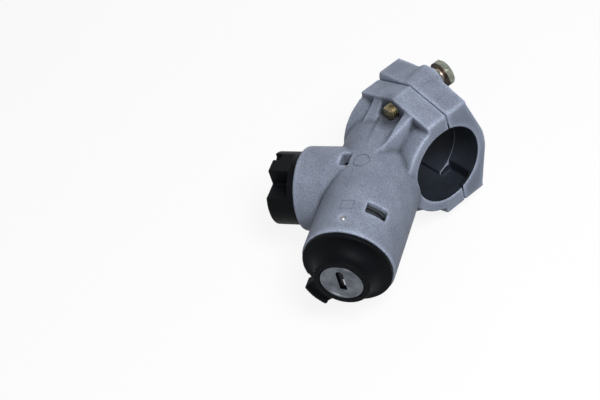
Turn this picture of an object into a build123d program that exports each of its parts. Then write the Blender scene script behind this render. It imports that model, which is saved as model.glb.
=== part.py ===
from build123d import *
from math import acos, atan2, cos, hypot, pi, radians, sin, tan
import os

# Steering column lock: a die-cast body clamped round the column tube, with the key barrel on one
# side, a lock bolt that slides out of the barrel's end into the column, and an ignition switch on a
# branch square to the barrel.
# The origin is on the column axis, in the plane of the two clamp bolts. X runs along the column,
# Y along the clamp bolts towards the cap, and Z is square to the plane that holds all three axes.

# Clamp on the column
column_r = 20.25
clamp_near = 24.0
clamp_far = -27.0
clamp_wall = 5.75
cap_wall = 5.05
split_y = 5.3
split_gap = 0.6
ear_depth = 12.3
ear_peak = 36.0
ear_near = 28.5
ear_far = 28.0
cap_ear_far = 31.8
cap_top_near = 18.3
cap_top_far = 20.4
cap_flank_inset = 2.0
cap_relief_z = 28.0
cap_relief_h = 1.3
cap_relief_end = -8.0
cap_groove_x = 6.3
cap_groove_width = 1.2
cap_groove_depth = 0.35
cap_pocket_end = 22.0
cap_pocket_top = 13.0
cap_pocket_depth = 2.6
cast_round = 1.2
bore_run_out = 14.0
cut_over = 1.0

# Clamp bolts
bolt_x = -2.0
bolt_edge = 8.0
bolt_r = 3.95
bolt_seat_y = 20.6
bolt_tail_y = -10.6
bolt_tail_chamfer = 0.6
bolt_collar_r = 6.6
bolt_collar_h = 2.2
bolt_collar_taper = 20.0
bolt_seat_gap = 0.8
bolt_neck_r = 3.3
bolt_neck_h = 2.6
bolt_head_af = 13.8
bolt_head_h = 3.4
bolt_head_turn = 19.0
bolt_head_cone = 25.0
bolt_hole_gap = 0.4
thread_gap = 0.05
boss_top_r = 9.5
boss_foot_r = 8.2

# Gusset ribs beside each bolt's tail, from the ear down to the barrel
rib_inner_near = 7.4
rib_outer_near = 12.9
rib_flare_near = 1.0
rib_top_near = 31.6
rib_depth_near = 19.3
rib_foot_inner_near = 22.1
rib_foot_outer_near = 7.9
rib_inner_far = -10.0
rib_outer_far = -15.8
rib_flare_far = 0.4
rib_lean_far = 2.4
rib_top_inner_far = 32.4
rib_top_outer_far = 30.4
rib_depth_far = 15.4
rib_foot_inner_far = 14.2
rib_foot_outer_far = 18.6
web_top_y = -8.0
web_top_z = 24.5
web_foot_y = -34.0
web_foot_z = 22.7
web_foot_half = 2.5

# Barrel
barrel_angle = 56.0
barrel_reach = 104.0
barrel_foot_x = -16.4
barrel_r = 22.8
barrel_front = 11.8
barrel_bore_r = 19.6
bore_step_gap = 0.4
gear_clearance = 0.6

# Switch branch
branch_u = 62.0
branch_r = 21.5
branch_reach = 35.9
branch_bore_r = 18.2
branch_step = 19.0
branch_rim_round = 1.6

# Windows cut through the casting
window_shift = 0.6
window_length = 6.4
window_angle = 127.0
window_width = 10.6
catch_near = 8.2
catch_far = 13.0
catch_length = 8.6

# Bezel
bezel_gap = 0.4
bezel_ring_wall = 0.9
bezel_lip = 2.4
bezel_flare_start = 2.6
bezel_flare_end = 9.1
bezel_ledge = 1.1
bezel_flare_sag = 2.0
bezel_set_in = 0.8
bezel_flange_start = 9.4
bezel_skirt_gap = 0.3
bezel_ring_round = 0.4

# Release button
button_angle = -34.5
button_width = 13.5
button_front = 0.8
button_length = 6.4
button_set_in = 1.0
button_lip = 1.6
button_dish = 1.3
button_round = 0.4
button_travel = 2.5
button_gap = 0.35
stem_width = 4.6
stem_inner_gap = 0.6
stem_outer_gap = 1.8
stem_end = 24.6
stem_slot_end = 33.0
spring_r = 1.5
spring_wire_r = 0.3
spring_turns = 6

# Lock cylinder
sleeve_nose_r = 12.6
sleeve_front = 2.8
sleeve_land_gap = 0.2
sleeve_waist_r = 14.0
front_land_start = 18.6
front_land_end = 24.0
mid_land_step = 2.4
mid_land_start = 27.6
mid_land_end = 31.6
rear_land_start = 36.0
rear_land_set_in = 1.4
plug_head_r = 10.5
plug_head_end = 6.0
sleeve_head_gap = 0.3
plug_r = 8.0
plug_end_gap = 0.2
running_gap = 0.05
cover_thick = 0.8
cover_dish_r = 9.3
cover_dish = 0.3
cover_slot_extra = 1.2
cover_slot_corner = 0.8
key_slot_width = 2.5
key_slot_height = 11.0
key_slot_shift = 1.0
key_slot_depth = 34.0
shutter_pocket = 5.4
shutter_front = 0.9
shutter_thick = 0.5
shutter_hinge_x = 1.9
shutter_hinge_r = 0.45
shutter_hinge_half = 7.0
shutter_half = 5.8
shutter_lap = 0.3
shutter_pocket_x = 0.35
shutter_pocket_width = 4.5
wafer_count = 8
wafer_start = 11.0
wafer_pitch = 3.0
wafer_thick = 1.2
wafer_width = 6.0
wafer_set_in = 0.3
wafer_gap = 0.1
wafer_window_height = 8.6
wafer_lug_reach = 1.8
wafer_lug_top = 4.4
wafer_lug_bottom = 3.2
wafer_spring_bottom = -1.0
wafer_spring_r = 0.6
wafer_spring_bore = 0.35
pin_r = 1.5
pin_set_in = 1.9
pin_foot = 13.2
pin_gap = 0.05
pin_chamfer = 0.3
leaf_thick = 0.7
leaf_width = 2.2
leaf_inset = 0.6
leaf_sweep = 80.0

# Drive shaft, bevel gears and lock bolt
gear_radius = 12.0
gear_teeth = 16
gear_inner = 9.2
tip_angle = 49.0
root_angle = 39.5
tooth_pitch_share = 0.42
tooth_tip_share = 0.30
tooth_root_share = 0.66
tooth_sink = 0.97
hub_r = 9.0
hub_length = 4.6
neck_side = 8.0
spindle_reach = 7.0
spindle_r = 4.0
tang_width = 9.0
tang_thick = 4.0
tang_depth = 3.6
fit_gap = 0.1
bolt_side = 11.0
bolt_corner = 2.2
bolt_set_back = 3.4
bolt_bore_run = 3.0
bolt_bore_gap = 0.3
bolt_flush_gap = 0.4
follower_r = 1.2
follower_set_in = 2.0
follower_end_gap = 0.2
slide_gap = 0.15
slot_reach = 1.6
mm_per_degree = 0.1
lock_turn = 80.0
start_turn = 25.0

# Ignition switch
gear_hub_h = 1.8
bush_end_gap = 0.4
bush_flange_h = 2.4
bush_gap = 0.2
switch_ledge = 0.4
switch_wall = 2.6
switch_collar_h = 4.1
block_h = 11.0
chamber_end = 31.0
block_top = 17.4
block_side = 6.1
block_step = 8.5
block_round = 0.5
socket_depth = 8.2
socket_corner = 0.8
latch_x = -4.4
latch_width = 4.4
latch_depth = 5.0
latch_length = 4.0
collar_gap = 0.1
rotor_r = 12.6
rotor_end_gap = 0.3
rotor_h = 5.1
square_side = 5.6
bridge_stand = 0.6
bridge_thick = 0.8
bridge_length = 25.6
bridge_width = 5.6
bridge_corner = 1.9
bridge_spring_x = 6.2
bridge_spring_r = 1.2
bridge_spring_bore = 0.7
bridge_angle = 90.0
bridge_pocket = 1.0
contact_gap = 0.3
contact_r = 1.6
contact_head_r = 1.9
contact_seat = 2.0
blade_width = 4.2
blade_thick = 0.8
blade_stand = 6.4
blade_pitch = 5.2
blade_pitch_wide = 9.6

# Clamp sizes that follow
clamp_length = clamp_near - clamp_far
shell_r = column_r + clamp_wall
cap_r = column_r + cap_wall
housing_top = split_y - split_gap / 2
cap_bottom = split_y + split_gap / 2
ear_bottom = split_y - ear_depth
bolt_z = ear_peak - bolt_edge

# The gear chamber and drive train take their places from the gears' apex at branch_u
gear_bore_r = gear_radius * tan(radians(tip_angle)) + gear_clearance
gear_bore_end = branch_u - gear_inner + gear_clearance
hub_start = branch_u - gear_radius - hub_length
barrel_bore_end = hub_start - bore_step_gap
plug_end = hub_start - plug_end_gap
bolt_rear = branch_u - gear_inner + bolt_set_back
spindle_end = branch_u + spindle_reach
follower_u = spindle_end - follower_set_in
follower_reach = bolt_side / 2 - follower_end_gap
bolt_bore_end = spindle_end + bolt_bore_run
branch_gear_start = gear_inner - gear_clearance
tooth_thickness = 2 * pi / gear_teeth * tooth_pitch_share

# The lock cylinder and bezel fill the barrel's bore from its wall inwards
sleeve_land_r = barrel_bore_r - sleeve_land_gap
mid_land_r = sleeve_land_r - mid_land_step
rear_land_end = barrel_bore_end - rear_land_set_in
stem_inner_r = sleeve_waist_r + stem_inner_gap
stem_outer_r = barrel_bore_r - stem_outer_gap
stem_centre_r = (stem_inner_r + stem_outer_r) / 2
bezel_bore_r = plug_head_r + bezel_gap
bezel_inner_r = sleeve_nose_r + bezel_gap
bezel_ring_r = bezel_inner_r + bezel_ring_wall
bezel_flange_r = barrel_r - bezel_set_in
bezel_flare_r = bezel_flange_r - bezel_ledge
bezel_skirt_r = barrel_bore_r - bezel_skirt_gap
bezel_skirt_end = front_land_start - bezel_gap
button_r = bezel_flange_r - button_set_in
pin_u = front_land_start + pin_set_in
leaf_start = mid_land_start + leaf_inset
leaf_end = leaf_start + leaf_width
window_u = (leaf_start + leaf_end) / 2 + window_shift
wafer_height = 2 * (plug_r - wafer_set_in)
wafer_lug_x = wafer_width / 2 + wafer_lug_reach / 2
wafer_pocket_top = wafer_lug_top + wafer_gap
shutter_hinge_u = cover_thick + shutter_front + shutter_hinge_r

# The switch stands on the branch's rim, and its spindle stack starts at the switch gear
gear_hub_end = gear_radius + gear_hub_h
bush_start = gear_hub_end + bush_end_gap
bush_flange_end = branch_step + bush_flange_h
skirt_start = bush_flange_end + bush_gap
rotor_start = skirt_start + rotor_end_gap
rotor_end = rotor_start + rotor_h
bridge_start = rotor_end + bridge_stand
switch_r = branch_bore_r + switch_ledge
switch_inner_r = branch_bore_r - bush_gap - switch_wall
switch_collar_end = branch_reach + switch_collar_h
switch_end = switch_collar_end + block_h

# Directions and planes
out_dir = Vector(cos(radians(barrel_angle)), -sin(radians(barrel_angle)), 0)
back_dir = -out_dir
side_dir = Vector(-sin(radians(barrel_angle)), -cos(radians(barrel_angle)), 0)
key_centre = Vector(barrel_foot_x, 0, 0) + out_dir * barrel_reach
crossing = key_centre + back_dir * branch_u
barrel_profile = Plane(origin=key_centre, x_dir=side_dir, z_dir=(0, 0, -1))
barrel_axis = Axis(key_centre, back_dir)


def barrel_plane(u, angle=0):
    """Plane square to the barrel axis, u behind the key face: x to the branch, y up, z backwards."""
    turned = side_dir * cos(radians(angle)) + Vector(0, 0, 1) * sin(radians(angle))
    return Plane(origin=key_centre + back_dir * u, x_dir=turned, z_dir=back_dir)


def branch_plane(b, angle=0):
    """Plane square to the branch axis, b from the barrel axis: x to the key face, y up, z outwards."""
    turned = out_dir * cos(radians(angle)) + Vector(0, 0, 1) * sin(radians(angle))
    return Plane(origin=crossing + side_dir * b, x_dir=turned, z_dir=side_dir)


def level(y):
    """Plane square to the clamp bolts at height y: x along the column, y up, z away from the cap."""
    return Plane.XZ.offset(-y)


def bolt_plane(side, y):
    """Plane square to one clamp bolt at height y, facing its head: x along the column."""
    return Plane(origin=(bolt_x, y, side * bolt_z), x_dir=(1, 0, 0), z_dir=(0, 1, 0))


def radial_plane(u, angle):
    """Plane through the barrel axis point at u, whose z points out along the given angle."""
    outward = side_dir * cos(radians(angle)) + Vector(0, 0, 1) * sin(radians(angle))
    return Plane(origin=key_centre + back_dir * u, x_dir=back_dir, z_dir=outward)


def bevel_tooth(cone_distance, thickness):
    """Corner points of one tooth's section on the plane at that distance from the gears' apex."""
    tip = cone_distance * tan(radians(tip_angle))
    root = cone_distance * tan(radians(root_angle)) * tooth_sink
    half_tip = cone_distance * thickness * tooth_tip_share
    half_root = cone_distance * thickness * tooth_root_share
    return [(root, -half_root), (tip, -half_tip), (tip, half_tip), (root, half_root)]


shutter_hinge_plane = Plane(
    origin=barrel_plane(shutter_hinge_u).from_local_coords((shutter_hinge_x, 0, 0)),
    x_dir=side_dir,
    z_dir=(0, 0, 1),
)

# Sockets of the switch as x, y, width and height, and the terminal blades as x, y and turn
sockets = [(-0.3, 11.0, 9.4, 9.6), (10.6, -0.6, 8.5, 14.9), (0, -11.0, 9.4, 9.0)]
blades = [
    (sockets[0][0] - blade_pitch / 2, sockets[0][1], 90),
    (sockets[0][0] + blade_pitch / 2, sockets[0][1], 90),
    (sockets[1][0], sockets[1][1] - blade_pitch_wide / 2, 0),
    (sockets[1][0], sockets[1][1] + blade_pitch_wide / 2, 0),
    (sockets[2][0] - blade_pitch / 2, sockets[2][1], 90),
    (sockets[2][0] + blade_pitch / 2, sockets[2][1], 90),
]

# Housing
# One zinc-aluminium casting: the barrel, the branch, the lower half of the clamp with its two ears,
# and the gusset ribs that run from the ears down to the barrel on both sides of each bolt's tail.
with BuildPart() as lock_housing:
    with BuildSketch(level(ear_bottom)):
        with BuildLine():
            Polyline(
                (clamp_far, ear_far),
                (0, ear_peak),
                (clamp_near, ear_near),
                (clamp_near, -ear_near),
                (0, -ear_peak),
                (clamp_far, -ear_far),
                close=True,
            )
        make_face()
    extrude(amount=-ear_depth)
    fillet(lock_housing.edges().filter_by(Axis.Y), cast_round)
    for side in (1, -1):
        with BuildSketch(level(ear_bottom + cast_round)):
            with BuildLine():
                Polyline(
                    (rib_inner_near, 0),
                    (rib_outer_near, 0),
                    (rib_outer_near, side * rib_top_near),
                    (rib_inner_near, side * rib_top_near),
                    close=True,
                )
            make_face()
        with BuildSketch(level(ear_bottom - rib_depth_near)):
            with BuildLine():
                Polyline(
                    (rib_inner_near, 0),
                    (rib_outer_near + rib_flare_near, 0),
                    (rib_outer_near + rib_flare_near, side * rib_foot_outer_near),
                    (rib_inner_near, side * rib_foot_inner_near),
                    close=True,
                )
            make_face()
        loft(ruled=True)
        with BuildSketch(level(ear_bottom + cast_round)):
            with BuildLine():
                Polyline(
                    (rib_inner_far, 0),
                    (rib_outer_far, 0),
                    (rib_outer_far, side * rib_top_outer_far),
                    (rib_inner_far, side * rib_top_inner_far),
                    close=True,
                )
            make_face()
        with BuildSketch(level(ear_bottom - rib_depth_far)):
            with BuildLine():
                Polyline(
                    (rib_inner_far + rib_lean_far, 0),
                    (rib_outer_far + rib_flare_far, 0),
                    (rib_outer_far + rib_flare_far, side * rib_foot_outer_far),
                    (rib_inner_far + rib_lean_far, side * rib_foot_inner_far),
                    close=True,
                )
            make_face()
        loft(ruled=True)
    # Web between the ribs, which runs out along the barrel's crest
    crest_x = barrel_foot_x - web_foot_y / tan(radians(barrel_angle))
    with BuildSketch(level(web_top_y)):
        with Locations(((rib_inner_near + rib_inner_far) / 2, 0)):
            Rectangle(rib_inner_near - rib_inner_far, 2 * web_top_z)
    with BuildSketch(level(web_foot_y)):
        with Locations((crest_x, 0)):
            Rectangle(2 * web_foot_half, 2 * web_foot_z)
    loft(ruled=True)
    with BuildSketch(Plane.YZ.offset(clamp_far)):
        Circle(shell_r)
    extrude(amount=clamp_length)
    with BuildSketch(barrel_plane(barrel_front)):
        Circle(barrel_r)
    extrude(amount=barrel_reach - barrel_front)
    with BuildSketch(Plane.YZ.offset(clamp_far)):
        Rectangle(2 * shell_r, 4 * shell_r)
    extrude(amount=-barrel_r, mode=Mode.SUBTRACT)
    with BuildSketch(branch_plane(0)):
        Circle(branch_r)
    extrude(amount=branch_reach)
    fillet(
        lock_housing.edges().filter_by(GeomType.CIRCLE).sort_by(Axis(crossing, side_dir))[-1],
        branch_rim_round,
    )
    # Column bore, open past the near face where the barrel stands beside the column
    with BuildSketch(Plane.YZ.offset(clamp_far - cut_over)):
        Circle(column_r)
    extrude(amount=clamp_length + cut_over + bore_run_out, mode=Mode.SUBTRACT)
    split(bisect_by=level(housing_top), keep=Keep.TOP)
    # Barrel bore, gear bore and the square way that guides the lock bolt
    with BuildSketch(barrel_plane(barrel_front)):
        Circle(barrel_bore_r)
    extrude(amount=barrel_bore_end - barrel_front, mode=Mode.SUBTRACT)
    with BuildSketch(barrel_plane(barrel_bore_end)):
        Circle(gear_bore_r)
    extrude(amount=gear_bore_end - barrel_bore_end, mode=Mode.SUBTRACT)
    with BuildSketch(barrel_plane(gear_bore_end)):
        RectangleRounded(bolt_side + 2 * slide_gap, bolt_side + 2 * slide_gap, bolt_corner)
    extrude(amount=barrel_reach - gear_bore_end - column_r / 2, mode=Mode.SUBTRACT)
    # Branch bore in two steps
    with BuildSketch(branch_plane(branch_gear_start)):
        Circle(gear_bore_r)
    extrude(amount=branch_reach - branch_gear_start, mode=Mode.SUBTRACT)
    with BuildSketch(branch_plane(branch_step)):
        Circle(branch_bore_r)
    extrude(amount=branch_reach - branch_step, mode=Mode.SUBTRACT)
    # Window over the lock cylinder's leaf, and the catch window in the branch
    with BuildSketch(radial_plane(window_u, window_angle)):
        Rectangle(window_length, window_width)
    extrude(amount=barrel_r + cut_over, mode=Mode.SUBTRACT)
    with BuildSketch(Plane(origin=crossing, x_dir=side_dir, z_dir=(0, 0, 1))):
        with Locations(((catch_near + catch_far) / 2, 0)):
            Rectangle(catch_far - catch_near, catch_length)
    extrude(amount=branch_r + cut_over, mode=Mode.SUBTRACT)
    # Hole of the pin that keeps the lock cylinder in the barrel
    with BuildSketch(radial_plane(pin_u, 90)):
        Circle(pin_r)
    extrude(amount=barrel_r + cut_over, mode=Mode.SUBTRACT)
    # Tapped holes of the clamp bolts
    with BuildSketch(level(housing_top)):
        with Locations((bolt_x, bolt_z), (bolt_x, -bolt_z)):
            Circle(bolt_r + thread_gap)
    extrude(amount=ear_depth + rib_depth_near, mode=Mode.SUBTRACT)
lock_housing.part.label = "lock_housing"

# Clamp cap
# The other half of the clamp, a casting with a boss round each bolt. Its outer faces run straight
# from the ears to a rounded back, and the ears' lower faces rise slightly towards the far end. A flat
# seat is kept clear round each bolt's collar. The bore has a shallow groove and, beside the joint
# face, an index pocket for the column tube.
cap_flank_z = ear_near - cap_flank_inset
cap_flank_angle = atan2(cap_flank_z, cap_top_near) - acos(cap_r / hypot(cap_top_near, cap_flank_z))
cap_flank_foot = (cap_r * cos(cap_flank_angle), cap_r * sin(cap_flank_angle))
cap_relief_end_z = ear_peak + (cap_ear_far - ear_peak) * cap_relief_end / clamp_far
with BuildPart() as clamp_cap:
    with BuildSketch(Plane.XY.offset(-ear_peak)):
        with BuildLine():
            Polyline(
                (clamp_far, cap_bottom),
                (clamp_near, cap_bottom),
                (clamp_near, cap_top_near),
                (clamp_far, cap_top_far),
                close=True,
            )
        make_face()
    extrude(amount=2 * ear_peak)
    with BuildSketch(level(cap_bottom)):
        with BuildLine():
            Polyline(
                (clamp_far, cap_ear_far),
                (0, ear_peak),
                (clamp_near, ear_near),
                (clamp_near, -ear_near),
                (0, -ear_peak),
                (clamp_far, -cap_ear_far),
                close=True,
            )
        make_face()
    extrude(amount=-2 * ear_depth, mode=Mode.INTERSECT)
    fillet(clamp_cap.edges().filter_by(Axis.Y), cast_round)
    with BuildSketch(Plane.YZ.offset(clamp_far)):
        with BuildLine():
            Polyline(
                (cap_bottom, cap_flank_z),
                (cap_top_near, cap_flank_z),
                (cap_flank_foot[0], cap_flank_foot[1]),
                (cap_flank_foot[0], -cap_flank_foot[1]),
                (cap_top_near, -cap_flank_z),
                (cap_bottom, -cap_flank_z),
                close=True,
            )
        make_face()
        Circle(cap_r)
    extrude(amount=clamp_length)
    for side in (1, -1):
        with BuildSketch(level(cap_bottom)):
            with Locations((bolt_x, side * bolt_z)):
                Circle(boss_foot_r)
        with BuildSketch(level(bolt_seat_y)):
            with Locations((bolt_x, side * bolt_z)):
                Circle(boss_top_r)
        loft()
    split(bisect_by=level(cap_bottom), keep=Keep.BOTTOM)
    with BuildSketch(level(cap_bottom)):
        Rectangle(4 * ear_peak, 2 * (ear_peak + cut_over))
    extrude(amount=-2 * ear_depth, mode=Mode.INTERSECT)
    with BuildSketch(Plane.YZ.offset(clamp_far - cut_over)):
        Circle(column_r)
    extrude(amount=clamp_length + 2 * cut_over, mode=Mode.SUBTRACT)
    with BuildSketch(Plane.YZ.offset(cap_groove_x)):
        Circle(column_r + cap_groove_depth)
    extrude(amount=-cap_groove_width, mode=Mode.SUBTRACT)
    with BuildSketch(level(cap_bottom)):
        with Locations(((cap_groove_x + cap_pocket_end) / 2, -cap_pocket_depth - column_r / 2)):
            Rectangle(cap_pocket_end - cap_groove_x, column_r)
    extrude(amount=cap_bottom - cap_pocket_top, mode=Mode.SUBTRACT)
    for side in (1, -1):
        relief_corner = Vector(clamp_far, cap_bottom, side * cap_relief_z)
        relief_rise = Vector(clamp_far, cap_bottom + cap_relief_h, side * cap_ear_far)
        relief_end = Vector(cap_relief_end, cap_bottom, side * cap_relief_end_z)
        down = side * (relief_end - relief_corner).cross(relief_rise - relief_corner)
        with BuildSketch(Plane(origin=relief_corner, x_dir=relief_end - relief_corner, z_dir=down)):
            Rectangle(4 * ear_peak, 4 * ear_peak)
        extrude(amount=2 * cap_relief_h, mode=Mode.SUBTRACT)
    with BuildSketch(level(bolt_seat_y)):
        with Locations((bolt_x, bolt_z), (bolt_x, -bolt_z)):
            Circle(bolt_collar_r + bolt_seat_gap)
    extrude(amount=-ear_depth, mode=Mode.SUBTRACT)
    with BuildSketch(level(bolt_seat_y + cut_over)):
        with Locations((bolt_x, bolt_z), (bolt_x, -bolt_z)):
            Circle(bolt_r + bolt_hole_gap)
    extrude(amount=2 * ear_depth, mode=Mode.SUBTRACT)
clamp_cap.part.label = "clamp_cap"

# Shear bolts
# Two steel bolts from the cap side: a threaded shank, a conical collar, a thin neck and a hexagon
# that breaks off there when the bolt is tightened.
with BuildPart() as shear_bolts:
    for side in (1, -1):
        with BuildSketch(bolt_plane(side, bolt_tail_y)):
            Circle(bolt_r)
        extrude(amount=bolt_seat_y - bolt_tail_y)
        chamfer(shear_bolts.faces().sort_by(Axis.Y)[0].edges(), bolt_tail_chamfer)
        with BuildSketch(bolt_plane(side, bolt_seat_y)):
            Circle(bolt_collar_r)
        extrude(amount=bolt_collar_h, taper=bolt_collar_taper)
        with BuildSketch(bolt_plane(side, bolt_seat_y)):
            Circle(bolt_neck_r)
        extrude(amount=bolt_collar_h + bolt_neck_h)
        head_y = bolt_seat_y + bolt_collar_h + bolt_neck_h
        with BuildSketch(bolt_plane(side, head_y)):
            RegularPolygon(bolt_head_af / 2, 6, major_radius=False, rotation=bolt_head_turn)
        extrude(amount=bolt_head_h)
        # The hexagon's corners are turned off at its top
        head_top = head_y + bolt_head_h
        corner_drop = bolt_head_af / 2 * tan(radians(bolt_head_cone))
        with BuildSketch(Plane(origin=(bolt_x, 0, side * bolt_z), x_dir=(0, 0, 1), z_dir=(-1, 0, 0))):
            with BuildLine():
                Polyline(
                    (bolt_head_af / 2, head_top),
                    (bolt_head_af, head_top),
                    (bolt_head_af, head_top - corner_drop),
                    close=True,
                )
            make_face()
        revolve(axis=Axis((bolt_x, 0, side * bolt_z), (0, 1, 0)), mode=Mode.SUBTRACT)
shear_bolts.part.label = "shear_bolts"

# Key bezel
# A black moulded ring round the key face. It flares out to a flange that covers the end of the
# barrel, and a skirt behind the flange sits in the barrel's bore.
with BuildPart() as key_bezel:
    with BuildSketch(barrel_profile) as bezel_profile:
        with BuildLine():
            Polyline(
                (bezel_ring_r, bezel_flare_start),
                (bezel_ring_r, 0),
                (bezel_bore_r, 0),
                (bezel_bore_r, bezel_lip),
                (bezel_inner_r, bezel_lip),
                (bezel_inner_r, bezel_skirt_end),
                (bezel_skirt_r, bezel_skirt_end),
                (bezel_skirt_r, barrel_front),
                (bezel_flange_r, barrel_front),
                (bezel_flange_r, bezel_flange_start),
                (bezel_flare_r, bezel_flare_end),
            )
            SagittaArc(
                (bezel_flare_r, bezel_flare_end),
                (bezel_ring_r, bezel_flare_start),
                -bezel_flare_sag,
            )
        make_face()
        fillet(bezel_profile.vertices().group_by(Axis.Y)[0], bezel_ring_round)
        fillet(bezel_profile.vertices().group_by(Axis.X)[-1].sort_by(Axis.Y)[0], bezel_ring_round)
    revolve(axis=barrel_axis)
    # Pocket of the release button and the slot for its stem
    with BuildSketch(barrel_plane(0, button_angle)):
        with Locations((bezel_flange_r, 0)):
            Rectangle(2 * bezel_flange_r, button_width + 2 * button_gap)
        Circle(bezel_ring_r, mode=Mode.SUBTRACT)
    extrude(amount=button_front + button_length + button_travel + button_gap, mode=Mode.SUBTRACT)
    with BuildSketch(barrel_plane(0, button_angle)):
        with Locations((stem_centre_r, 0)):
            Rectangle(stem_outer_r - stem_inner_r + 2 * button_gap, stem_width + 2 * button_gap)
    extrude(amount=bezel_skirt_end, mode=Mode.SUBTRACT)
key_bezel.part.label = "key_bezel"

# Release button
# The button pressed to turn the key back to lock, with a lip along its outer edge and a stem that
# runs back along the lock cylinder.
with BuildPart() as release_button:
    with BuildSketch(barrel_plane(button_front, button_angle)):
        Circle(button_r)
        Circle(bezel_ring_r + button_gap, mode=Mode.SUBTRACT)
        with Locations((button_r, 0)):
            Rectangle(2 * button_r, button_width, mode=Mode.INTERSECT)
    extrude(amount=button_length)
    fillet(release_button.edges().filter_by(barrel_axis), button_round)
    with BuildSketch(barrel_plane(button_front, button_angle)):
        Circle(button_r - button_lip)
    extrude(amount=button_dish, mode=Mode.SUBTRACT)
    with BuildSketch(barrel_plane(button_front + button_length, button_angle)):
        with Locations((stem_centre_r, 0)):
            Rectangle(stem_outer_r - stem_inner_r, stem_width)
    extrude(amount=stem_end - button_front - button_length)
release_button.part.label = "release_button"

# Button spring
# A steel compression spring between the button's stem and the rear land of the lock cylinder.
spring_foot = Plane(
    origin=barrel_plane(stem_end + spring_wire_r, button_angle).from_local_coords((stem_centre_r, 0, 0)),
    x_dir=barrel_plane(0, button_angle).x_dir,
    z_dir=back_dir,
)
spring_height = rear_land_start - stem_end - 2 * spring_wire_r
spring_path = spring_foot.location * Helix(spring_height / spring_turns, spring_height, spring_r)
with BuildPart() as button_spring:
    with BuildSketch(Plane(origin=spring_path @ 0, z_dir=spring_path % 0)):
        Circle(spring_wire_r)
    sweep(path=spring_path, is_frenet=True)
button_spring.part.label = "button_spring"

# Lock cylinder sleeve
# The turned brass sleeve that stays in the barrel: a nose in the bezel and three lands in the bore.
with BuildPart() as cylinder_sleeve:
    with BuildSketch(barrel_profile):
        with BuildLine():
            Polyline(
                (plug_head_r + sleeve_head_gap, sleeve_front),
                (sleeve_nose_r, sleeve_front),
                (sleeve_nose_r, front_land_start),
                (sleeve_land_r, front_land_start),
                (sleeve_land_r, front_land_end),
                (sleeve_waist_r, front_land_end),
                (sleeve_waist_r, mid_land_start),
                (mid_land_r, mid_land_start),
                (mid_land_r, mid_land_end),
                (sleeve_waist_r, mid_land_end),
                (sleeve_waist_r, rear_land_start),
                (sleeve_land_r, rear_land_start),
                (sleeve_land_r, rear_land_end),
                (plug_r + running_gap, rear_land_end),
                (plug_r + running_gap, plug_head_end + sleeve_head_gap),
                (plug_head_r + sleeve_head_gap, plug_head_end + sleeve_head_gap),
                close=True,
            )
        make_face()
    revolve(axis=barrel_axis)
    with BuildSketch(barrel_plane(bezel_skirt_end, button_angle)):
        with Locations((sleeve_land_r, 0)):
            Rectangle(2 * sleeve_land_r, stem_width + 2 * button_gap)
        Circle(sleeve_waist_r + running_gap, mode=Mode.SUBTRACT)
    extrude(amount=stem_slot_end - bezel_skirt_end, mode=Mode.SUBTRACT)
    with BuildSketch(radial_plane(pin_u, 90).offset(pin_foot)):
        Circle(pin_r)
    extrude(amount=sleeve_land_r, mode=Mode.SUBTRACT)
cylinder_sleeve.part.label = "cylinder_sleeve"

# Sleeve pin
# A steel pin driven through the barrel's wall into the front land, so that the sleeve stays in.
with BuildPart() as sleeve_pin:
    with BuildSketch(radial_plane(pin_u, 90).offset(pin_foot)):
        Circle(pin_r - pin_gap)
    extrude(amount=barrel_r - pin_foot)
    chamfer(sleeve_pin.edges().group_by(Axis.Z)[-1], pin_chamfer)
sleeve_pin.part.label = "sleeve_pin"

# Retaining leaf
# A spring steel band round the middle land, seen through the barrel's window.
with BuildPart() as retaining_leaf:
    with BuildSketch(barrel_plane(leaf_start, window_angle)):
        Circle(mid_land_r + pin_gap + leaf_thick)
        Circle(mid_land_r + pin_gap, mode=Mode.SUBTRACT)
        with BuildLine():
            Polyline(
                (0, 0),
                (2 * barrel_r, -2 * barrel_r * tan(radians(leaf_sweep / 2))),
                (2 * barrel_r, 2 * barrel_r * tan(radians(leaf_sweep / 2))),
                close=True,
            )
        make_face(mode=Mode.INTERSECT)
    extrude(amount=leaf_end - leaf_start)
retaining_leaf.part.label = "retaining_leaf"

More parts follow.
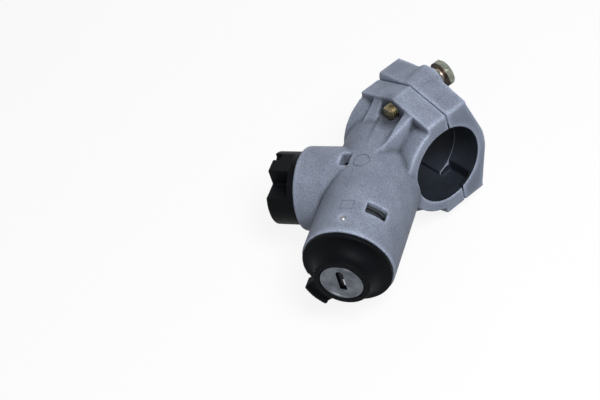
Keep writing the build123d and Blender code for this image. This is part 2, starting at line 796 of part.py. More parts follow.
# Lock plug
# The turned brass plug that the key turns. It holds the wafers in cross slots and drives the shaft
# behind it with a flat tang.
with BuildPart() as lock_plug:
    with BuildSketch(barrel_plane(cover_thick)):
        Circle(plug_head_r)
    extrude(amount=plug_head_end - cover_thick)
    with BuildSketch(barrel_plane(plug_head_end)):
        Circle(plug_r)
    extrude(amount=plug_end - plug_head_end)
    with BuildSketch(barrel_plane(plug_end)):
        Rectangle(tang_width, tang_thick)
    extrude(amount=tang_depth)
    # Pocket and hinge holes of the key shutter, then the keyway
    with BuildSketch(barrel_plane(cover_thick)):
        with Locations((shutter_pocket_x, 0)):
            Rectangle(shutter_pocket_width, 2 * (shutter_half + button_gap))
    extrude(amount=shutter_pocket, mode=Mode.SUBTRACT)
    with BuildSketch(shutter_hinge_plane.offset(-shutter_hinge_half - pin_gap)):
        Circle(shutter_hinge_r + running_gap)
    extrude(amount=2 * (shutter_hinge_half + pin_gap), mode=Mode.SUBTRACT)
    with BuildSketch(barrel_plane(cover_thick)):
        with Locations((0, key_slot_shift)):
            Rectangle(key_slot_width, key_slot_height)
    extrude(amount=key_slot_depth - cover_thick, mode=Mode.SUBTRACT)
    # Cross slots of the wafers, each with a side pocket for the wafer's lug and spring
    for i in range(wafer_count):
        with BuildSketch(barrel_plane(wafer_start + i * wafer_pitch - wafer_gap)):
            Rectangle(wafer_width + 2 * wafer_gap, 2 * plug_r)
            with Locations((wafer_lug_x, (wafer_pocket_top + wafer_spring_bottom) / 2)):
                Rectangle(
                    wafer_lug_reach + 2 * wafer_gap,
                    wafer_pocket_top - wafer_spring_bottom,
                )
        extrude(amount=wafer_thick + 2 * wafer_gap, mode=Mode.SUBTRACT)
lock_plug.part.label = "lock_plug"

# Plug cover
# A stainless steel cap pressed over the plug's head, dished inside a raised rim, with the key slot.
with BuildPart() as plug_cover:
    with BuildSketch(barrel_plane(0)):
        Circle(plug_head_r)
    extrude(amount=cover_thick)
    with BuildSketch(barrel_plane(0)):
        Circle(cover_dish_r)
    extrude(amount=cover_dish, mode=Mode.SUBTRACT)
    with BuildSketch(barrel_plane(0)):
        with Locations((0, key_slot_shift)):
            RectangleRounded(key_slot_width, key_slot_height + cover_slot_extra, cover_slot_corner)
    extrude(amount=cover_thick, mode=Mode.SUBTRACT)
plug_cover.part.label = "plug_cover"

# Key shutter
# A steel flap behind the key slot. It hinges on one long edge and the key pushes it inwards.
with BuildPart() as key_shutter:
    with BuildSketch(barrel_plane(cover_thick + shutter_front)):
        with Locations(((shutter_hinge_x - key_slot_width / 2 - shutter_lap) / 2, 0)):
            Rectangle(shutter_hinge_x + key_slot_width / 2 + shutter_lap, 2 * shutter_half)
    extrude(amount=shutter_thick)
    with BuildSketch(shutter_hinge_plane.offset(-shutter_hinge_half)):
        Circle(shutter_hinge_r)
    extrude(amount=2 * shutter_hinge_half)
key_shutter.part.label = "key_shutter"

# Wafers
# Eight stamped brass plates across the plug, each with a window for the key and a lug for its
# spring. They stand as the right key holds them, inside the plug's outline.
with BuildPart() as wafers:
    for i in range(wafer_count):
        with BuildSketch(barrel_plane(wafer_start + i * wafer_pitch)):
            Circle(plug_r - wafer_gap)
            Rectangle(wafer_width, wafer_height, mode=Mode.INTERSECT)
            with Locations((wafer_lug_x, (wafer_lug_top + wafer_lug_bottom) / 2)):
                Rectangle(wafer_lug_reach, wafer_lug_top - wafer_lug_bottom)
            with Locations((0, key_slot_shift)):
                Rectangle(key_slot_width, wafer_window_height, mode=Mode.SUBTRACT)
        extrude(amount=wafer_thick)
wafers.part.label = "wafers"

# Wafer springs
# One small coil spring under each wafer's lug. Each is a sleeve here in place of the coil.
with BuildPart() as wafer_springs:
    for i in range(wafer_count):
        wafer_centre = wafer_start + i * wafer_pitch + wafer_thick / 2
        foot = barrel_plane(wafer_centre).from_local_coords((wafer_lug_x, wafer_spring_bottom, 0))
        with BuildSketch(Plane(origin=foot, x_dir=side_dir, z_dir=(0, 0, 1))):
            Circle(wafer_spring_r)
            Circle(wafer_spring_bore, mode=Mode.SUBTRACT)
        extrude(amount=wafer_lug_bottom - wafer_spring_bottom)
wafer_springs.part.label = "wafer_springs"

# Drive shaft
# A steel shaft behind the plug: a hub with a slot for the plug's tang, a square neck for the bevel
# gear and a spindle that reaches into the lock bolt.
with BuildPart() as drive_shaft:
    with BuildSketch(barrel_plane(hub_start)):
        Circle(hub_r)
    extrude(amount=branch_u - gear_radius - hub_start)
    with BuildSketch(barrel_plane(hub_start)):
        Rectangle(tang_width + 2 * fit_gap, tang_thick + 2 * fit_gap)
    extrude(amount=plug_end + tang_depth + fit_gap - hub_start, mode=Mode.SUBTRACT)
    with BuildSketch(barrel_plane(branch_u - gear_radius)):
        Rectangle(neck_side, neck_side)
    extrude(amount=gear_radius - gear_inner)
    with BuildSketch(barrel_plane(branch_u - gear_inner)):
        Circle(spindle_r)
    extrude(amount=spindle_end - branch_u + gear_inner)
    with BuildSketch(radial_plane(follower_u, 90)):
        Circle(follower_r)
    extrude(amount=spindle_r, both=True, mode=Mode.SUBTRACT)
drive_shaft.part.label = "drive_shaft"

# Drive gear
# A bevel gear on the shaft's square neck. Its apex is where the barrel's axis meets the branch's.
with BuildPart() as drive_gear:
    with BuildSketch(barrel_plane(branch_u - gear_radius)):
        Circle(gear_radius * tan(radians(root_angle)))
    with BuildSketch(barrel_plane(branch_u - gear_inner)):
        Circle(gear_inner * tan(radians(root_angle)))
    loft()
    for i in range(gear_teeth):
        for distance in (gear_radius, gear_inner):
            with BuildSketch(barrel_plane(branch_u - distance, i * 360 / gear_teeth)):
                with BuildLine():
                    Polyline(bevel_tooth(distance, tooth_thickness), close=True)
                make_face()
        loft(ruled=True)
    with BuildSketch(barrel_plane(branch_u - gear_radius)):
        Rectangle(neck_side + fit_gap, neck_side + fit_gap)
    extrude(amount=gear_radius - gear_inner, mode=Mode.SUBTRACT)
drive_gear.part.label = "drive_gear"

# Follower pin
# A steel cross pin in the spindle. Its outer end runs in the helical slot of the lock bolt.
with BuildPart() as follower_pin:
    with BuildSketch(radial_plane(follower_u, 90).offset(-spindle_r + fit_gap)):
        Circle(follower_r)
    extrude(amount=follower_reach + spindle_r - fit_gap)
follower_pin.part.label = "follower_pin"

# Lock bolt
# The square steel bolt. The follower pin in its helical slot slides it out into the column, and its
# end is cut level with the column's bore when it is drawn back.
slot_start_u = follower_u - lock_turn * mm_per_degree
slot_end_u = follower_u + start_turn * mm_per_degree
slot_foot = barrel_plane(slot_start_u, 90 - lock_turn)
slot_path = slot_foot.location * Helix(
    360 * mm_per_degree, slot_end_u - slot_start_u, (spindle_r + bolt_side / 2 + slot_reach) / 2
)
slot_start_plane = Plane(
    origin=slot_path @ 0,
    x_dir=slot_foot.x_dir,
    z_dir=slot_path % 0,
)
with BuildPart() as lock_bolt:
    with BuildSketch(barrel_plane(bolt_rear)):
        RectangleRounded(bolt_side, bolt_side, bolt_corner)
    extrude(amount=barrel_reach - bolt_rear)
    split(bisect_by=level(-column_r - bolt_flush_gap), keep=Keep.TOP)
    with BuildSketch(barrel_plane(bolt_rear)):
        Circle(spindle_r + bolt_bore_gap)
    extrude(amount=bolt_bore_end - bolt_rear, mode=Mode.SUBTRACT)
    with BuildSketch(slot_start_plane):
        Rectangle(bolt_side / 2 + slot_reach - spindle_r + cut_over, 2 * (follower_r + bolt_bore_gap))
    sweep(path=slot_path, is_frenet=True, mode=Mode.SUBTRACT)
    with BuildSketch(radial_plane(slot_start_u, 90 - lock_turn)):
        Circle(follower_r + bolt_bore_gap)
    extrude(amount=bolt_side, mode=Mode.SUBTRACT)
    with BuildSketch(radial_plane(slot_end_u, 90 + start_turn)):
        Circle(follower_r + bolt_bore_gap)
    extrude(amount=bolt_side, mode=Mode.SUBTRACT)
lock_bolt.part.label = "lock_bolt"

# Switch gear
# The bevel gear of the branch, in one steel piece with its spindle and the square end that turns
# the switch.
with BuildPart() as switch_gear:
    with BuildSketch(branch_plane(gear_radius)):
        Circle(gear_radius * tan(radians(root_angle)))
    with BuildSketch(branch_plane(gear_inner)):
        Circle(gear_inner * tan(radians(root_angle)))
    loft()
    for i in range(gear_teeth):
        for distance in (gear_radius, gear_inner):
            with BuildSketch(branch_plane(distance, (i + 0.5) * 360 / gear_teeth)):
                with BuildLine():
                    Polyline(bevel_tooth(distance, tooth_thickness), close=True)
                make_face()
        loft(ruled=True)
    with BuildSketch(branch_plane(gear_radius)):
        Circle(hub_r)
    extrude(amount=gear_hub_end - gear_radius)
    with BuildSketch(branch_plane(gear_hub_end)):
        Circle(spindle_r)
    extrude(amount=skirt_start - gear_hub_end)
    with BuildSketch(branch_plane(skirt_start)):
        Rectangle(square_side, square_side)
    extrude(amount=bridge_start - skirt_start)
switch_gear.part.label = "switch_gear"

# Spindle bush
# A flanged bush that closes the gear chamber and carries the switch gear's spindle.
with BuildPart() as spindle_bush:
    with BuildSketch(branch_plane(bush_start)):
        Circle(gear_bore_r - bush_gap)
    extrude(amount=branch_step - bush_start)
    with BuildSketch(branch_plane(branch_step)):
        Circle(branch_bore_r - bush_gap)
    extrude(amount=bush_flange_end - branch_step)
    with BuildSketch(branch_plane(bush_start)):
        Circle(spindle_r + running_gap)
    extrude(amount=bush_flange_end - bush_start, mode=Mode.SUBTRACT)
spindle_bush.part.label = "spindle_bush"

# Switch rotor
# The moulded rotor on the spindle's square end, with two spring pockets under the contact bridge.
with BuildPart() as switch_rotor:
    with BuildSketch(branch_plane(rotor_start)):
        Circle(rotor_r)
        Rectangle(square_side + 2 * fit_gap, square_side + 2 * fit_gap, mode=Mode.SUBTRACT)
    extrude(amount=rotor_end - rotor_start)
    with BuildSketch(branch_plane(rotor_end - bridge_pocket, bridge_angle)):
        with Locations((bridge_spring_x, 0), (-bridge_spring_x, 0)):
            Circle(bridge_spring_r + fit_gap)
    extrude(amount=bridge_pocket, mode=Mode.SUBTRACT)
switch_rotor.part.label = "switch_rotor"

# Contact bridge
# A copper plate that turns with the rotor and joins two of the fixed contacts.
with BuildPart() as contact_bridge:
    with BuildSketch(branch_plane(bridge_start, bridge_angle)):
        RectangleRounded(bridge_length, bridge_width, bridge_corner)
    extrude(amount=bridge_thick)
contact_bridge.part.label = "contact_bridge"

# Bridge springs
# Two small coil springs under the contact bridge. Each is a sleeve here in place of the coil.
with BuildPart() as bridge_springs:
    with BuildSketch(branch_plane(rotor_end - bridge_pocket, bridge_angle)):
        with Locations((bridge_spring_x, 0), (-bridge_spring_x, 0)):
            Circle(bridge_spring_r)
            Circle(bridge_spring_bore, mode=Mode.SUBTRACT)
    extrude(amount=bridge_start - rotor_end + bridge_pocket)
bridge_springs.part.label = "bridge_springs"

# Switch housing
# The moulded switch body: a skirt in the branch's bore, a collar on its rim and a connector block
# with three sockets. The block's top is flat and one upper corner is stepped down.
with BuildPart() as switch_housing:
    with BuildSketch(branch_plane(skirt_start)):
        Circle(branch_bore_r - bush_gap)
    extrude(amount=branch_reach + collar_gap - skirt_start)
    with BuildSketch(branch_plane(branch_reach + collar_gap)):
        Circle(switch_r)
    extrude(amount=switch_end - branch_reach - collar_gap)
    with BuildSketch(branch_plane(switch_collar_end)):
        with Locations((0, block_top + switch_r)):
            Rectangle(4 * switch_r, 2 * switch_r)
        with Locations((block_side + switch_r, block_step + switch_r)):
            Rectangle(2 * switch_r, 2 * switch_r)
    extrude(amount=switch_end - switch_collar_end, mode=Mode.SUBTRACT)
    fillet(switch_housing.faces().sort_by(Axis(crossing, side_dir))[-1].edges(), block_round)
    with BuildSketch(branch_plane(skirt_start)):
        Circle(switch_inner_r)
    extrude(amount=chamber_end - skirt_start, mode=Mode.SUBTRACT)
    with BuildSketch(branch_plane(switch_end - socket_depth)):
        for x, y, width, height in sockets:
            with Locations((x, y)):
                RectangleRounded(width, height, socket_corner)
    extrude(amount=socket_depth, mode=Mode.SUBTRACT)
    with BuildSketch(branch_plane(switch_end - latch_length)):
        with Locations((latch_x, block_top)):
            Rectangle(latch_width, latch_depth)
    extrude(amount=latch_length, mode=Mode.SUBTRACT)
    # Slots of the terminal blades and holes of the contact rivets
    with BuildSketch(branch_plane(chamber_end + contact_seat)):
        for x, y, turn in blades:
            with Locations(Location((x, y, 0), (0, 0, turn))):
                Rectangle(blade_width + 2 * pin_gap, blade_thick + 2 * pin_gap)
    extrude(amount=switch_end - socket_depth - chamber_end - contact_seat, mode=Mode.SUBTRACT)
    with BuildSketch(branch_plane(chamber_end)):
        for x, y, turn in blades:
            with Locations((x, y)):
                Circle(contact_r + pin_gap)
    extrude(amount=contact_seat, mode=Mode.SUBTRACT)
switch_housing.part.label = "switch_housing"

# Fixed contacts
# Six silvered rivets in the floor of the switch chamber, one under each terminal.
with BuildPart() as fixed_contacts:
    for x, y, turn in blades:
        with BuildSketch(branch_plane(bridge_start + bridge_thick + contact_gap)):
            with Locations((x, y)):
                Circle(contact_head_r)
        extrude(amount=chamber_end - bridge_start - bridge_thick - contact_gap)
        with BuildSketch(branch_plane(chamber_end)):
            with Locations((x, y)):
                Circle(contact_r)
        extrude(amount=contact_seat)
fixed_contacts.part.label = "fixed_contacts"

# Switch terminals
# Six flat blades that stand up in the sockets for the loom's connectors.
with BuildPart() as switch_terminals:
    for x, y, turn in blades:
        with BuildSketch(branch_plane(chamber_end + contact_seat)):
            with Locations(Location((x, y, 0), (0, 0, turn))):
                Rectangle(blade_width, blade_thick)
        extrude(amount=switch_end - socket_depth + blade_stand - chamber_end - contact_seat)
switch_terminals.part.label = "switch_terminals"

os.makedirs("parts", exist_ok=True)
export_step(lock_housing.part, "parts/lock_housing.step")
export_step(clamp_cap.part, "parts/clamp_cap.step")
export_step(shear_bolts.part, "parts/shear_bolts.step")
export_step(key_bezel.part, "parts/key_bezel.step")
export_step(release_button.part, "parts/release_button.step")
export_step(button_spring.part, "parts/button_spring.step")
export_step(cylinder_sleeve.part, "parts/cylinder_sleeve.step")
export_step(sleeve_pin.part, "parts/sleeve_pin.step")
export_step(retaining_leaf.part, "parts/retaining_leaf.step")
export_step(lock_plug.part, "parts/lock_plug.step")
export_step(plug_cover.part, "parts/plug_cover.step")
export_step(key_shutter.part, "parts/key_shutter.step")
export_step(wafers.part, "parts/wafers.step")
export_step(wafer_springs.part, "parts/wafer_springs.step")
export_step(drive_shaft.part, "parts/drive_shaft.step")
export_step(drive_gear.part, "parts/drive_gear.step")
export_step(follower_pin.part, "parts/follower_pin.step")
export_step(lock_bolt.part, "parts/lock_bolt.step")
export_step(switch_gear.part, "parts/switch_gear.step")
export_step(spindle_bush.part, "parts/spindle_bush.step")
export_step(switch_rotor.part, "parts/switch_rotor.step")
export_step(contact_bridge.part, "parts/contact_bridge.step")
export_step(bridge_springs.part, "parts/bridge_springs.step")
export_step(switch_housing.part, "parts/switch_housing.step")
export_step(fixed_contacts.part, "parts/fixed_contacts.step")
export_step(switch_terminals.part, "parts/switch_terminals.step")
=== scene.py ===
from math import cos, hypot, pi, radians, sin, tan
import bmesh
import bpy
from mathutils import Matrix, Vector
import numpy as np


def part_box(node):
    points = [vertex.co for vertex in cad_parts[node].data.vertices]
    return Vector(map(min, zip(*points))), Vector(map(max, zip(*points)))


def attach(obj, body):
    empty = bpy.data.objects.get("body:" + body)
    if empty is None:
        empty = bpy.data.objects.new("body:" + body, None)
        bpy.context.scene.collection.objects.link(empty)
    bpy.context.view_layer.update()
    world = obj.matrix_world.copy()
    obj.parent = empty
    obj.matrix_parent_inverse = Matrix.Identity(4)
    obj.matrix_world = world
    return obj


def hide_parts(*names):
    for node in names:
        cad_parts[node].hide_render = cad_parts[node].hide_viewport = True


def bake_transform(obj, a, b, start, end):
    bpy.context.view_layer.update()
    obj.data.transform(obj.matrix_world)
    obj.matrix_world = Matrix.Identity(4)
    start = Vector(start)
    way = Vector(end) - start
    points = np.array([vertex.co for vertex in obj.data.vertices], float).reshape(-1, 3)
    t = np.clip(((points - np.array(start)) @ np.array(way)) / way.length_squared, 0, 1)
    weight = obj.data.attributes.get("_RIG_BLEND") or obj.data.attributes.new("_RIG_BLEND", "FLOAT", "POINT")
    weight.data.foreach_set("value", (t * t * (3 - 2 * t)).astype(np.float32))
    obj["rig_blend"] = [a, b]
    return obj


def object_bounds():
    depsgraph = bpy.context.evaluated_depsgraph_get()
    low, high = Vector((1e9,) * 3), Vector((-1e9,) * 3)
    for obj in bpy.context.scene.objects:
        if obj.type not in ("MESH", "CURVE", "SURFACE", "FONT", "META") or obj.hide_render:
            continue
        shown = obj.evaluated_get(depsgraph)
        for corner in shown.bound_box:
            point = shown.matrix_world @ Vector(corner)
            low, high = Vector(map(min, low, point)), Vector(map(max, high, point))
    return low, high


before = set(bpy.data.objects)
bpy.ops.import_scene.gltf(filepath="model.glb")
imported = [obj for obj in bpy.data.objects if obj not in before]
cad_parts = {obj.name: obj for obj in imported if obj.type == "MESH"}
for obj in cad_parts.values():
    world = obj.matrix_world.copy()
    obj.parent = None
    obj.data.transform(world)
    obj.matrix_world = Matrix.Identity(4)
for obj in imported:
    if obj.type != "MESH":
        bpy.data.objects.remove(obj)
cad_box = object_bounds()
mm = 0.001

# Body and clamp cap
# Two pressure die castings in a zinc-aluminium alloy, left as they came out of the tool apart from
# a light blast with shot. Every edge and every root is a little soft.
column_radius = 20.25 * mm
clamp_middle = -1.5 * mm
clamp_half = 25.5 * mm
barrel_radius = 22.8 * mm
barrel_foot = Vector((-16.4 * mm, 0, 0))
barrel_lean = radians(56)
out_dir = Vector((cos(barrel_lean), -sin(barrel_lean), 0))
side_dir = Vector((-sin(barrel_lean), -cos(barrel_lean), 0))


def linear(colour):
    """Scene-linear RGBA of an sRGB hex colour such as "7d8699"."""
    values = [int(colour[i:i + 2], 16) / 255 for i in (0, 2, 4)]
    return [v / 12.92 if v <= 0.04045 else ((v + 0.055) / 1.055) ** 2.4 for v in values] + [1.0]


def add(tree, kind, settings={}, links={}):
    """Adds a node. A setting is a ramp's stops, a property, or an input's default by name or index."""
    made = tree.nodes.new(kind)
    for name, value in settings.items():
        if name == "stops":
            for element, (position, colour) in zip(made.color_ramp.elements, value):
                element.position = position
                element.color = linear(colour)
        elif isinstance(name, str) and hasattr(made, name):
            setattr(made, name, value)
        else:
            made.inputs[name].default_value = value
    for name, source in links.items():
        tree.links.new(source, made.inputs[name])
    return made


def new_finish(name, settings):
    """A material with one Principled shader. Returns it, its tree, the shader and the place on the object."""
    material = bpy.data.materials.new(name)
    material.use_nodes = True
    tree = material.node_tree
    tree.nodes.clear()
    shader = add(tree, "ShaderNodeBsdfPrincipled", settings)
    add(tree, "ShaderNodeOutputMaterial", {}, {"Surface": shader.outputs["BSDF"]})
    place = add(tree, "ShaderNodeTexCoord").outputs["Object"]
    return material, tree, shader, place


# Die-cast zinc-aluminium, blasted: a matt blue-grey metal with faint clouds, painted shade in the
# roots, painted highlights on the proud edges and painted shade round each bolt's tail. Shot marks
# give it a coarse sparkle. Real ones are finer than a pixel, so they are drawn at 0.6 mm.
die_cast, tree, shader, place = new_finish("die_cast_zinc_aluminium", {"Specular IOR Level": 0.15})
cloud = add(tree, "ShaderNodeTexNoise", {"Scale": 1 / (14 * mm), "Detail": 3.0}, {"Vector": place})
grain = add(tree, "ShaderNodeTexNoise", {"Scale": 1 / (0.6 * mm), "Detail": 2.0}, {"Vector": place})
metal_tone = add(
    tree, "ShaderNodeValToRGB", {"stops": ((0.35, "757c8c"), (0.65, "818999"))},
    {"Fac": cloud.outputs["Fac"]},
)
grain_shade = add(
    tree, "ShaderNodeMapRange", {"From Min": 0.3, "From Max": 0.7, "To Min": 0.70, "To Max": 1.30},
    {"Value": grain.outputs["Fac"]},
)
# Painted shade darkens the roots and painted highlights lighten the proud edges, by the stored relief.
relief = add(tree, "ShaderNodeAttribute", {"attribute_name": "relief"})
root_shade = add(
    tree, "ShaderNodeMapRange", {"From Min": -1.0, "From Max": 0.0, "To Min": 0.20, "To Max": 1.0},
    {"Value": relief.outputs["Fac"]},
)
edge_highlight = add(
    tree, "ShaderNodeMapRange", {"From Min": 0.1, "From Max": 1.0, "To Min": 1.0, "To Max": 1.55},
    {"Value": relief.outputs["Fac"]},
)
painted_shade_and_highlight = add(
    tree, "ShaderNodeMath", {"operation": "MULTIPLY"},
    {0: root_shade.outputs["Result"], 1: edge_highlight.outputs["Result"]},
)

# The castings are the same above and below, so places are folded up to the upper half.
split = add(tree, "ShaderNodeSeparateXYZ", {}, {"Vector": place})
height = add(tree, "ShaderNodeMath", {"operation": "ABSOLUTE"}, {0: split.outputs["Z"]})
upper = add(
    tree, "ShaderNodeCombineXYZ", {},
    {"X": split.outputs["X"], "Y": split.outputs["Y"], "Z": height.outputs["Value"]},
)
# Painted shade darkens the casting round each bolt's tail.
tail_place = (-2 * mm, -9 * mm, 28 * mm)
tail_shade_inner = 5.5 * mm
tail_shade_outer = 10.5 * mm
from_tail = add(
    tree, "ShaderNodeVectorMath", {"operation": "DISTANCE", 1: tail_place},
    {0: upper.outputs["Vector"]},
)
tail_shade = add(
    tree, "ShaderNodeMapRange",
    {"From Min": tail_shade_inner, "From Max": tail_shade_outer, "To Min": 0.30, "To Max": 1.0},
    {"Value": from_tail.outputs["Value"]},
)
shaded_grain = add(
    tree, "ShaderNodeMath", {"operation": "MULTIPLY"},
    {0: grain_shade.outputs["Result"], 1: painted_shade_and_highlight.outputs["Value"]},
)
shade = add(
    tree, "ShaderNodeMath", {"operation": "MULTIPLY"},
    {0: shaded_grain.outputs["Value"], 1: tail_shade.outputs["Result"]},
)
bare_colour = add(
    tree, "ShaderNodeVectorMath", {"operation": "SCALE"},
    {0: metal_tone.outputs["Color"], "Scale": shade.outputs["Value"]},
)

# The bore is coloured near black, short of the end faces, and so is the cap's pocket. A strip
# along the edge of the cap's groove keeps the bare colour as a painted highlight.
dark_reach = column_radius + 3.2 * mm
dark_end = column_radius + 3.6 * mm
dark_half = clamp_half - 0.45 * mm
groove_edge_x = 6.3 * mm
groove_highlight_half = 0.25 * mm
cap_foot_y = 5.5 * mm
pocket_middle = (14.15 * mm, 9.2 * mm, 21.0 * mm)
pocket_half = (7.95 * mm, 3.9 * mm, 2.2 * mm)
across = add(tree, "ShaderNodeVectorMath", {"operation": "MULTIPLY", 1: (0, 1, 1)}, {0: place})
from_middle = add(tree, "ShaderNodeVectorMath", {"operation": "LENGTH"}, {0: across.outputs["Vector"]})
in_bore = add(
    tree, "ShaderNodeMapRange",
    {"From Min": dark_reach, "From Max": dark_end, "To Min": 1.0, "To Max": 0.0},
    {"Value": from_middle.outputs["Value"]},
)
off_ends = add(
    tree, "ShaderNodeMath", {"operation": "COMPARE", 1: clamp_middle, 2: dark_half},
    {0: split.outputs["X"]},
)
# A painted highlight: a strip along the edge of the cap's groove is left out of the darkening.
on_groove = add(
    tree, "ShaderNodeMath", {"operation": "COMPARE", 1: groove_edge_x, 2: groove_highlight_half},
    {0: split.outputs["X"]},
)
in_cap = add(tree, "ShaderNodeMath", {"operation": "GREATER_THAN", 1: cap_foot_y}, {0: split.outputs["Y"]})
inside = add(
    tree, "ShaderNodeMath", {"operation": "MULTIPLY"},
    {0: in_bore.outputs["Result"], 1: off_ends.outputs["Value"]},
)
groove_highlight = add(
    tree, "ShaderNodeMath", {"operation": "MULTIPLY"},
    {0: on_groove.outputs["Value"], 1: in_cap.outputs["Value"]},
)
bore_dark = add(
    tree, "ShaderNodeMath", {"operation": "SUBTRACT", "use_clamp": True},
    {0: inside.outputs["Value"], 1: groove_highlight.outputs["Value"]},
)
from_pocket = add(
    tree, "ShaderNodeVectorMath", {"operation": "SUBTRACT", 1: pocket_middle},
    {0: upper.outputs["Vector"]},
)
pocket_share = add(
    tree, "ShaderNodeVectorMath", {"operation": "DIVIDE", 1: pocket_half},
    {0: from_pocket.outputs["Vector"]},
)
pocket_reach = add(
    tree, "ShaderNodeVectorMath", {"operation": "ABSOLUTE"}, {0: pocket_share.outputs["Vector"]}
)
reach = add(tree, "ShaderNodeSeparateXYZ", {}, {"Vector": pocket_reach.outputs["Vector"]})
wider = add(
    tree, "ShaderNodeMath", {"operation": "MAXIMUM"}, {0: reach.outputs["X"], 1: reach.outputs["Y"]}
)
widest = add(
    tree, "ShaderNodeMath", {"operation": "MAXIMUM"}, {0: wider.outputs["Value"], 1: reach.outputs["Z"]}
)
in_pocket = add(tree, "ShaderNodeMath", {"operation": "LESS_THAN", 1: 1.0}, {0: widest.outputs["Value"]})
darkened = add(
    tree, "ShaderNodeMath", {"operation": "MAXIMUM"},
    {0: bore_dark.outputs["Value"], 1: in_pocket.outputs["Value"]},
)
dark_tone = add(
    tree, "ShaderNodeValToRGB", {"stops": ((0.35, "1c2027"), (0.65, "272c36"))},
    {"Fac": cloud.outputs["Fac"]},
)

# A Mix node's colours are its inputs 6 and 7 and its output 2.
surface = add(
    tree, "ShaderNodeMix", {"data_type": "RGBA"},
    {0: darkened.outputs["Value"], 6: bare_colour.outputs["Vector"], 7: dark_tone.outputs["Color"]},
)
bare = add(tree, "ShaderNodeMapRange", {"To Min": 0.10, "To Max": 0.0}, {"Value": darkened.outputs["Value"]})
gloss = add(
    tree, "ShaderNodeMapRange", {"From Min": 0.3, "From Max": 0.7, "To Min": 0.52, "To Max": 0.66},
    {"Value": grain.outputs["Fac"]},
)
grain_bump = add(
    tree, "ShaderNodeBump", {"Strength": 0.6, "Distance": 0.06 * mm}, {"Height": grain.outputs["Fac"]}
)
tree.links.new(surface.outputs[2], shader.inputs["Base Color"])
tree.links.new(bare.outputs["Result"], shader.inputs["Metallic"])
tree.links.new(gloss.outputs["Result"], shader.inputs["Roughness"])
tree.links.new(grain_bump.outputs["Normal"], shader.inputs["Normal"])


def apply_modifiers(piece):
    """Swaps a piece's mesh for what its modifiers make of it."""
    evaluated = piece.evaluated_get(bpy.context.evaluated_depsgraph_get())
    result = bpy.data.meshes.new_from_object(evaluated)
    piece.modifiers.clear()
    piece.data = result


def add_smoothing(piece, passes):
    """Adds a modifier that smooths a piece in that many passes."""
    smooth = piece.modifiers.new("smoothing", "SMOOTH")
    smooth.factor = 0.5
    smooth.iterations = passes
    return smooth


def merged_copy(node):
    """A CAD node's mesh in a bmesh, with its loose triangles joined."""
    joined = bmesh.new()
    joined.from_mesh(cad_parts[node].data)
    bmesh.ops.remove_doubles(joined, verts=joined.verts, dist=0.001 * mm)
    return joined


def new_piece(name, joined):
    """Makes a bmesh an object in the scene, and frees it."""
    mesh = bpy.data.meshes.new(name)
    joined.to_mesh(mesh)
    joined.free()
    piece = bpy.data.objects.new(name, mesh)
    bpy.context.scene.collection.objects.link(piece)
    return piece


def soft_copy(node, name, voxel, passes, wedges=()):
    """A closed copy of a CAD node, its edges rounded by remeshing, with any wedges cast onto it."""
    joined = merged_copy(node)
    for wedge in wedges:
        corners = [joined.verts.new(corner) for corner in wedge]
        bmesh.ops.convex_hull(joined, input=corners)
    piece = new_piece(name, joined)
    remesh = piece.modifiers.new("skin", "REMESH")
    remesh.mode = "VOXEL"
    remesh.voxel_size = voxel
    remesh.use_smooth_shade = True
    add_smoothing(piece, passes)
    apply_modifiers(piece)
    return piece


def thin(piece, share):
    """Keeps that share of a remeshed piece's faces, as its flats need far fewer."""
    fewer = piece.modifiers.new("fewer", "DECIMATE")
    fewer.ratio = share
    apply_modifiers(piece)


def dress(piece, material):
    """Gives every face of a piece, or of a CAD node, this one material."""
    piece.data.materials.clear()
    piece.data.materials.append(material)


def ramp(value, zero, one):
    """0 at zero, 1 at one, and straight between."""
    return min(1.0, max(0.0, (value - zero) / (one - zero)))


# The ribs' roots blend widely into the barrel, but not by the ears, the bore or the barrel's front.
root_passes = 12
ear_foot_y = -8.5 * mm
ear_clear_y = -11.5 * mm
bore_wall = column_radius + 2 * mm
bore_clear = column_radius + 5 * mm
barrel_plain = 44 * mm
barrel_rooted = 40 * mm


def soften_roots(casting):
    """Widens the blends between the gusset ribs, the bolt bosses and the barrel."""
    roots = casting.vertex_groups.new(name="rib_roots")
    for vertex in casting.data.vertices:
        under_ear = ramp(vertex.co.y, ear_foot_y, ear_clear_y)
        off_bore = ramp(hypot(vertex.co.y, vertex.co.z), bore_wall, bore_clear)
        on_barrel = ramp((vertex.co - barrel_foot).dot(out_dir), barrel_plain, barrel_rooted)
        weight = under_ear * off_bore * on_barrel
        if weight > 0:
            roots.add([vertex.index], weight, "REPLACE")
    add_smoothing(casting, root_passes).vertex_group = roots.name
    apply_modifiers(casting)
    casting.vertex_groups.clear()


relief_passes = 120
relief_depth = 0.75 * mm


def mark_relief(casting):
    """Stores for each point how far it stands proud of the shape round it, from -1 to 1."""
    mesh = casting.data
    add_smoothing(casting, relief_passes)
    evaluated = casting.evaluated_get(bpy.context.evaluated_depsgraph_get())
    smoothed = [vertex.co.copy() for vertex in evaluated.data.vertices]
    casting.modifiers.clear()
    stored = mesh.attributes.new("relief", "FLOAT", "POINT")
    for vertex, flat in zip(mesh.vertices, smoothed):
        proud = (vertex.co - flat).dot(vertex.normal) / relief_depth
        stored.data[vertex.index].value = min(1.0, max(-1.0, proud))


# The ridges' points store a low relief, so painted shade darkens them.
line_sink = 0.3 * mm
line_shade_relief = -0.35


